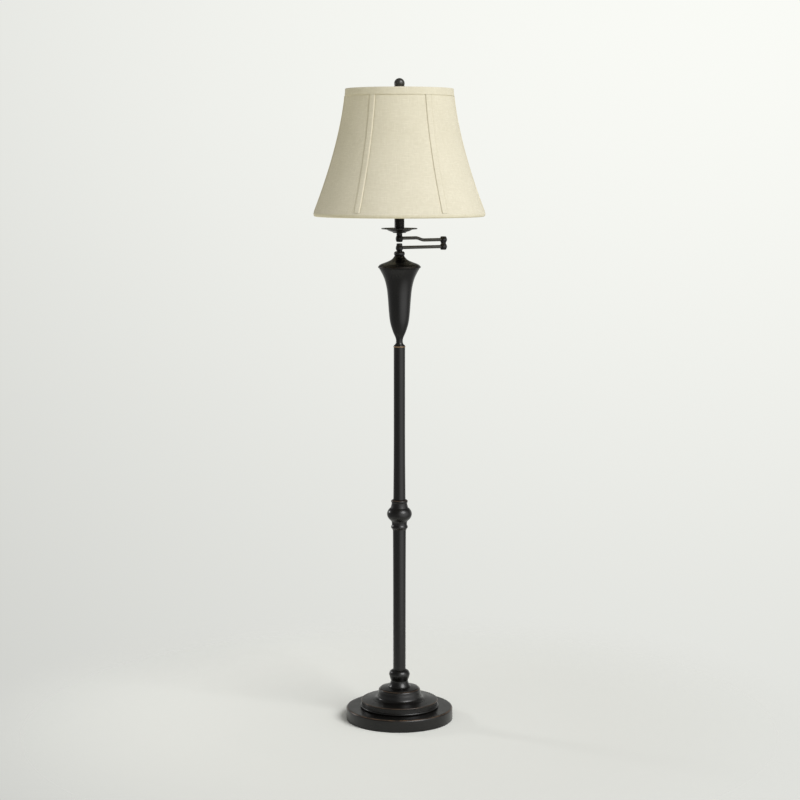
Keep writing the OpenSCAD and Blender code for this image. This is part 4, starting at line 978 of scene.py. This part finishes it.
def seam_tapes():
    """Six folded tapes over the seams, one piece of cloth section repeated round the shade."""
    low, high = foot("seam_strips") + 0.4, head("seam_strips") - 0.2
    section = [(-0.5, -0.3), (-0.495, 0.3), (-0.485, 0.8), (-0.45, 0.98), (-0.3, 1.02), (0, 1.03),
               (0.3, 1.02), (0.45, 0.98), (0.485, 0.8), (0.495, 0.3), (0.5, -0.3)]
    for k in range(PANELS):
        middle = FIRST_SEAM + 2 * math.pi * k / PANELS

        def place(u, v):
            across, up = section[round(u * (len(section) - 1))]
            z = low + (high - low) * v
            r = shade_radius(z) - CLOTH_INSET
            angle = middle + across * TAPE_WIDTH / r
            return around(angle, r + up * TAPE_RISE, z)

        def uv(u, v):
            across = section[round(u * (len(section) - 1))][0]
            return (across * TAPE_WIDTH * MM + 0.1 * k, (low + (high - low) * v) * MM)

        piece = cloth_sheet(f"seam_tape_{k + 1}", place, len(section) - 1, 60, False, uv, 0.3)
        nodes = ["seam_strips"] if k == 0 else []
        dress(piece, shade_linen, "shade_body", "shade_linen", *nodes)


def base_felt():
    """Felt pad glued under the weight."""
    low, top, r = foot("base_pad"), head("base_pad"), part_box("base_pad")[1].x / MM
    outline = [(0, low), (r - 0.7, low), (r, low + 0.5), (r, top - 0.4), (r - 0.4, top), (0, top)]
    piece = turned("base_felt", outline)
    dress(piece, black_felt, "stand", "felt", "base_pad")


# Studio

FLOOR_COLOUR = (0.885, 0.895, 0.85)
FLOOR_SHOWN = 0.45
FLOOR_END = 1.15


def studio_floor():
    """A pale round floor that fades into the background."""
    bpy.ops.object.select_all(action="DESELECT")
    bpy.ops.mesh.primitive_circle_add(vertices=96, radius=FLOOR_END, fill_type="NGON",
                                      location=(0, 0, 0))
    piece = bpy.context.object
    piece.name = piece.data.name = "studio_floor"
    material, tree, shader = new_material("studio_floor")
    tone = spread(tree, noise(tree, 2, 2), 0.3, 0.7)
    soft = tuple(c * 0.99 for c in FLOOR_COLOUR)
    tree.links.new(mixed(tree, tone, soft, FLOOR_COLOUR), shader.inputs["Base Color"])
    shader.inputs["Roughness"].default_value = 0.9
    shader.inputs["Specular IOR Level"].default_value = 0.1
    place = tree.nodes.new("ShaderNodeTexCoord")
    length = tree.nodes.new("ShaderNodeVectorMath")
    length.operation = "LENGTH"
    tree.links.new(place.outputs["Object"], length.inputs[0])
    fade = spread(tree, length.outputs["Value"], FLOOR_SHOWN, FLOOR_END, 1, 0)
    fade.node.interpolation_type = "SMOOTHSTEP"
    tree.links.new(fade, shader.inputs["Alpha"])
    piece.data.materials.append(material)


LIGHT_AZIMUTH = 45
LIGHT_RISE = 41
LIGHT_SPREAD = 32
LIGHT_STRENGTH = 2.12
RIM_AZIMUTH = -120
RIM_RISE = 20
RIM_DISTANCE = 3.2
RIM_AIM = Vector((0, 0, 0.3))
RIM_SIZE = 0.4
RIM_WATTS = 14
AMBIENT_LIT = (0.65, 0.65, 0.65)
AMBIENT_DARK = (0.045, 0.037, 0.022)
FLOOR_BOUNCE = (0.78, 0.74, 0.54)
WINDOW_TOP = 1.35
WINDOW_ENDS = 0.5
WINDOW_AZIMUTH = 45
WINDOW_RISE = 12
CEILING_LOW = 0.36
CEILING_HIGH = 0.18

# Brightness of the backdrop low down and at eye height, and its share at the left and the right.
BACKDROP_TINT = (0.99, 1.0, 0.955)
BACKDROP_FOOT = 0.725
BACKDROP_HEAD = 0.94
BACKDROP_LEFT = 0.857
BACKDROP_RIGHT = 1.028
# How far a ray points up or to the right, as a share of its length, where each change happens.
BACKDROP_RISE = (-0.37, 0.106)
BACKDROP_WIDTH = (-0.21, 0.21)
OVERHEAD_FALL = (0.127, 0.281)
OVERHEAD_END = 0.4


def upward_way(azimuth, rise):
    """A direction in degrees, counted rightwards from the camera and up from level."""
    turn, rise = math.radians(azimuth), math.radians(rise)
    level = towards_camera * math.cos(turn) + to_the_right * math.sin(turn)
    return level * math.cos(rise) + Vector((0, 0, math.sin(rise)))


def studio_world():
    """Light that grows towards the key's side, and a pale backdrop that metal shows too.

    On the camera's side the metal mirrors a broad window under a dim ceiling instead.
    """
    world = bpy.data.worlds.new("studio")
    bpy.context.scene.world = world
    world.use_nodes = True
    tree = world.node_tree
    background = tree.nodes["Background"]
    direction = tree.nodes.new("ShaderNodeTexCoord").outputs["Generated"]

    def along(way):
        node = tree.nodes.new("ShaderNodeVectorMath")
        node.operation = "DOT_PRODUCT"
        node.inputs[1].default_value = way
        tree.links.new(direction, node.inputs[0])
        return node.outputs["Value"]

    def product(first, *others):
        for other in others:
            first = calculate(tree, "MULTIPLY", first, other)
        return first

    up = along(Vector((0, 0, 1)))
    rise = spread(tree, up, *BACKDROP_RISE, BACKDROP_FOOT, BACKDROP_HEAD)
    rise.node.interpolation_type = "SMOOTHSTEP"
    leftward = spread(tree, along(to_the_right), *BACKDROP_WIDTH, 1, 0)
    sideways = spread(tree, product(leftward, leftward), 0, 1, BACKDROP_RIGHT, BACKDROP_LEFT)
    overhead = product(spread(tree, up, *OVERHEAD_FALL, 1, 0.404),
                       spread(tree, up, OVERHEAD_FALL[1], OVERHEAD_END, 1, 0.5))
    backdrop = mixed(tree, product(rise, sideways, overhead), (0, 0, 0), BACKDROP_TINT)
    facing = spread(tree, along(upward_way(LIGHT_AZIMUTH, 0)), -1, 1)
    ambient = mixed(tree, facing, AMBIENT_DARK, AMBIENT_LIT)
    under = spread(tree, up, -0.04, 0.02, 1, 0)
    room = mixed(tree, under, ambient, FLOOR_BOUNCE)
    ceiling = spread(tree, up, 0, 0.6, CEILING_LOW, CEILING_HIGH)
    window = spread(tree, along(upward_way(WINDOW_AZIMUTH, WINDOW_RISE)), WINDOW_ENDS, 1)
    window.node.interpolation_type = "SMOOTHSTEP"
    behind = calculate(tree, "ADD", ceiling, product(window, WINDOW_TOP))
    far_side = spread(tree, along(towards_camera), -0.96, -0.5)
    rays = tree.nodes.new("ShaderNodeLightPath")
    mirrored = calculate(tree, "LESS_THAN", rays.outputs["Is Camera Ray"], 0.5)
    shown = mixed(tree, product(mirrored, far_side), backdrop, behind)
    seen = calculate(tree, "MAXIMUM", rays.outputs["Is Camera Ray"], rays.outputs["Is Glossy Ray"])
    seen = calculate(tree, "MAXIMUM", seen, rays.outputs["Is Transmission Ray"])
    tree.links.new(mixed(tree, seen, room, shown), background.inputs["Color"])
    background.inputs["Strength"].default_value = 1.0


def lamp_of(kind, name, place, way, energy):
    """A lamp at a place that shines against a direction."""
    bpy.ops.object.light_add(type=kind, location=place)
    lamp = bpy.context.object
    lamp.name = name
    lamp.data.energy = energy
    lamp.rotation_euler = way.to_track_quat("Z", "Y").to_euler()
    return lamp.data


def studio_lights():
    """A broad soft sun from the upper right, and a small softbox from behind on the left."""
    way = upward_way(LIGHT_AZIMUTH, LIGHT_RISE)
    key = lamp_of("SUN", "key_light", way * 4, way, LIGHT_STRENGTH)
    key.angle = math.radians(LIGHT_SPREAD)
    way = upward_way(RIM_AZIMUTH, RIM_RISE)
    rim = lamp_of("AREA", "rim_softbox", RIM_AIM + way * RIM_DISTANCE, way, RIM_WATTS)
    rim.shape = "SQUARE"
    rim.size = RIM_SIZE


aim_camera()
finish_cad_nodes()
base_felt()
base_disc()
base_middle()
base_top()
foot_vase()
pole("lower_pole_tube", "lower_pole", 15.25, 15.85, "top")
knuckle()
pole("upper_pole_tube", "upper_pole", 13.65, 14.75, "foot")
ring_on_pole()
urn_stem()
urn_body()
urn_lid()
collar_on_lid()
pole_hub()
screw_cap("hub_cap", head("pole_hub"), head("pole_hub") + CAP_RISE, POLE_AXIS,
          "lower_arm_body", "lower_hub_caps")
elbow_half("elbow_below", "elbow_lower", "lower_arm_body", head("elbow_lower"), -1)
screw_cap("elbow_foot_cap", foot("elbow_lower"), foot("elbow_lower") - CAP_RISE, ELBOW_AXIS,
          "lower_arm_body")
elbow_half("elbow_above", "elbow_upper", "upper_arm_body", foot("elbow_upper"), 1)
screw_cap("elbow_head_cap", head("elbow_upper"), head("elbow_upper") + CAP_RISE, ELBOW_AXIS,
          "upper_arm_body", "elbow_top_cap")
lower_arm()
upper_arm()
candle_hub()
drip_pan()
candle_tube()
socket()
bulb()
knob()
finial()
shade_cloth()
shade_inner()
top_binding()
hem_binding()
seam_tapes()
studio_floor()
studio_world()
studio_lights()
bpy.context.scene.view_settings.view_transform = "Standard"
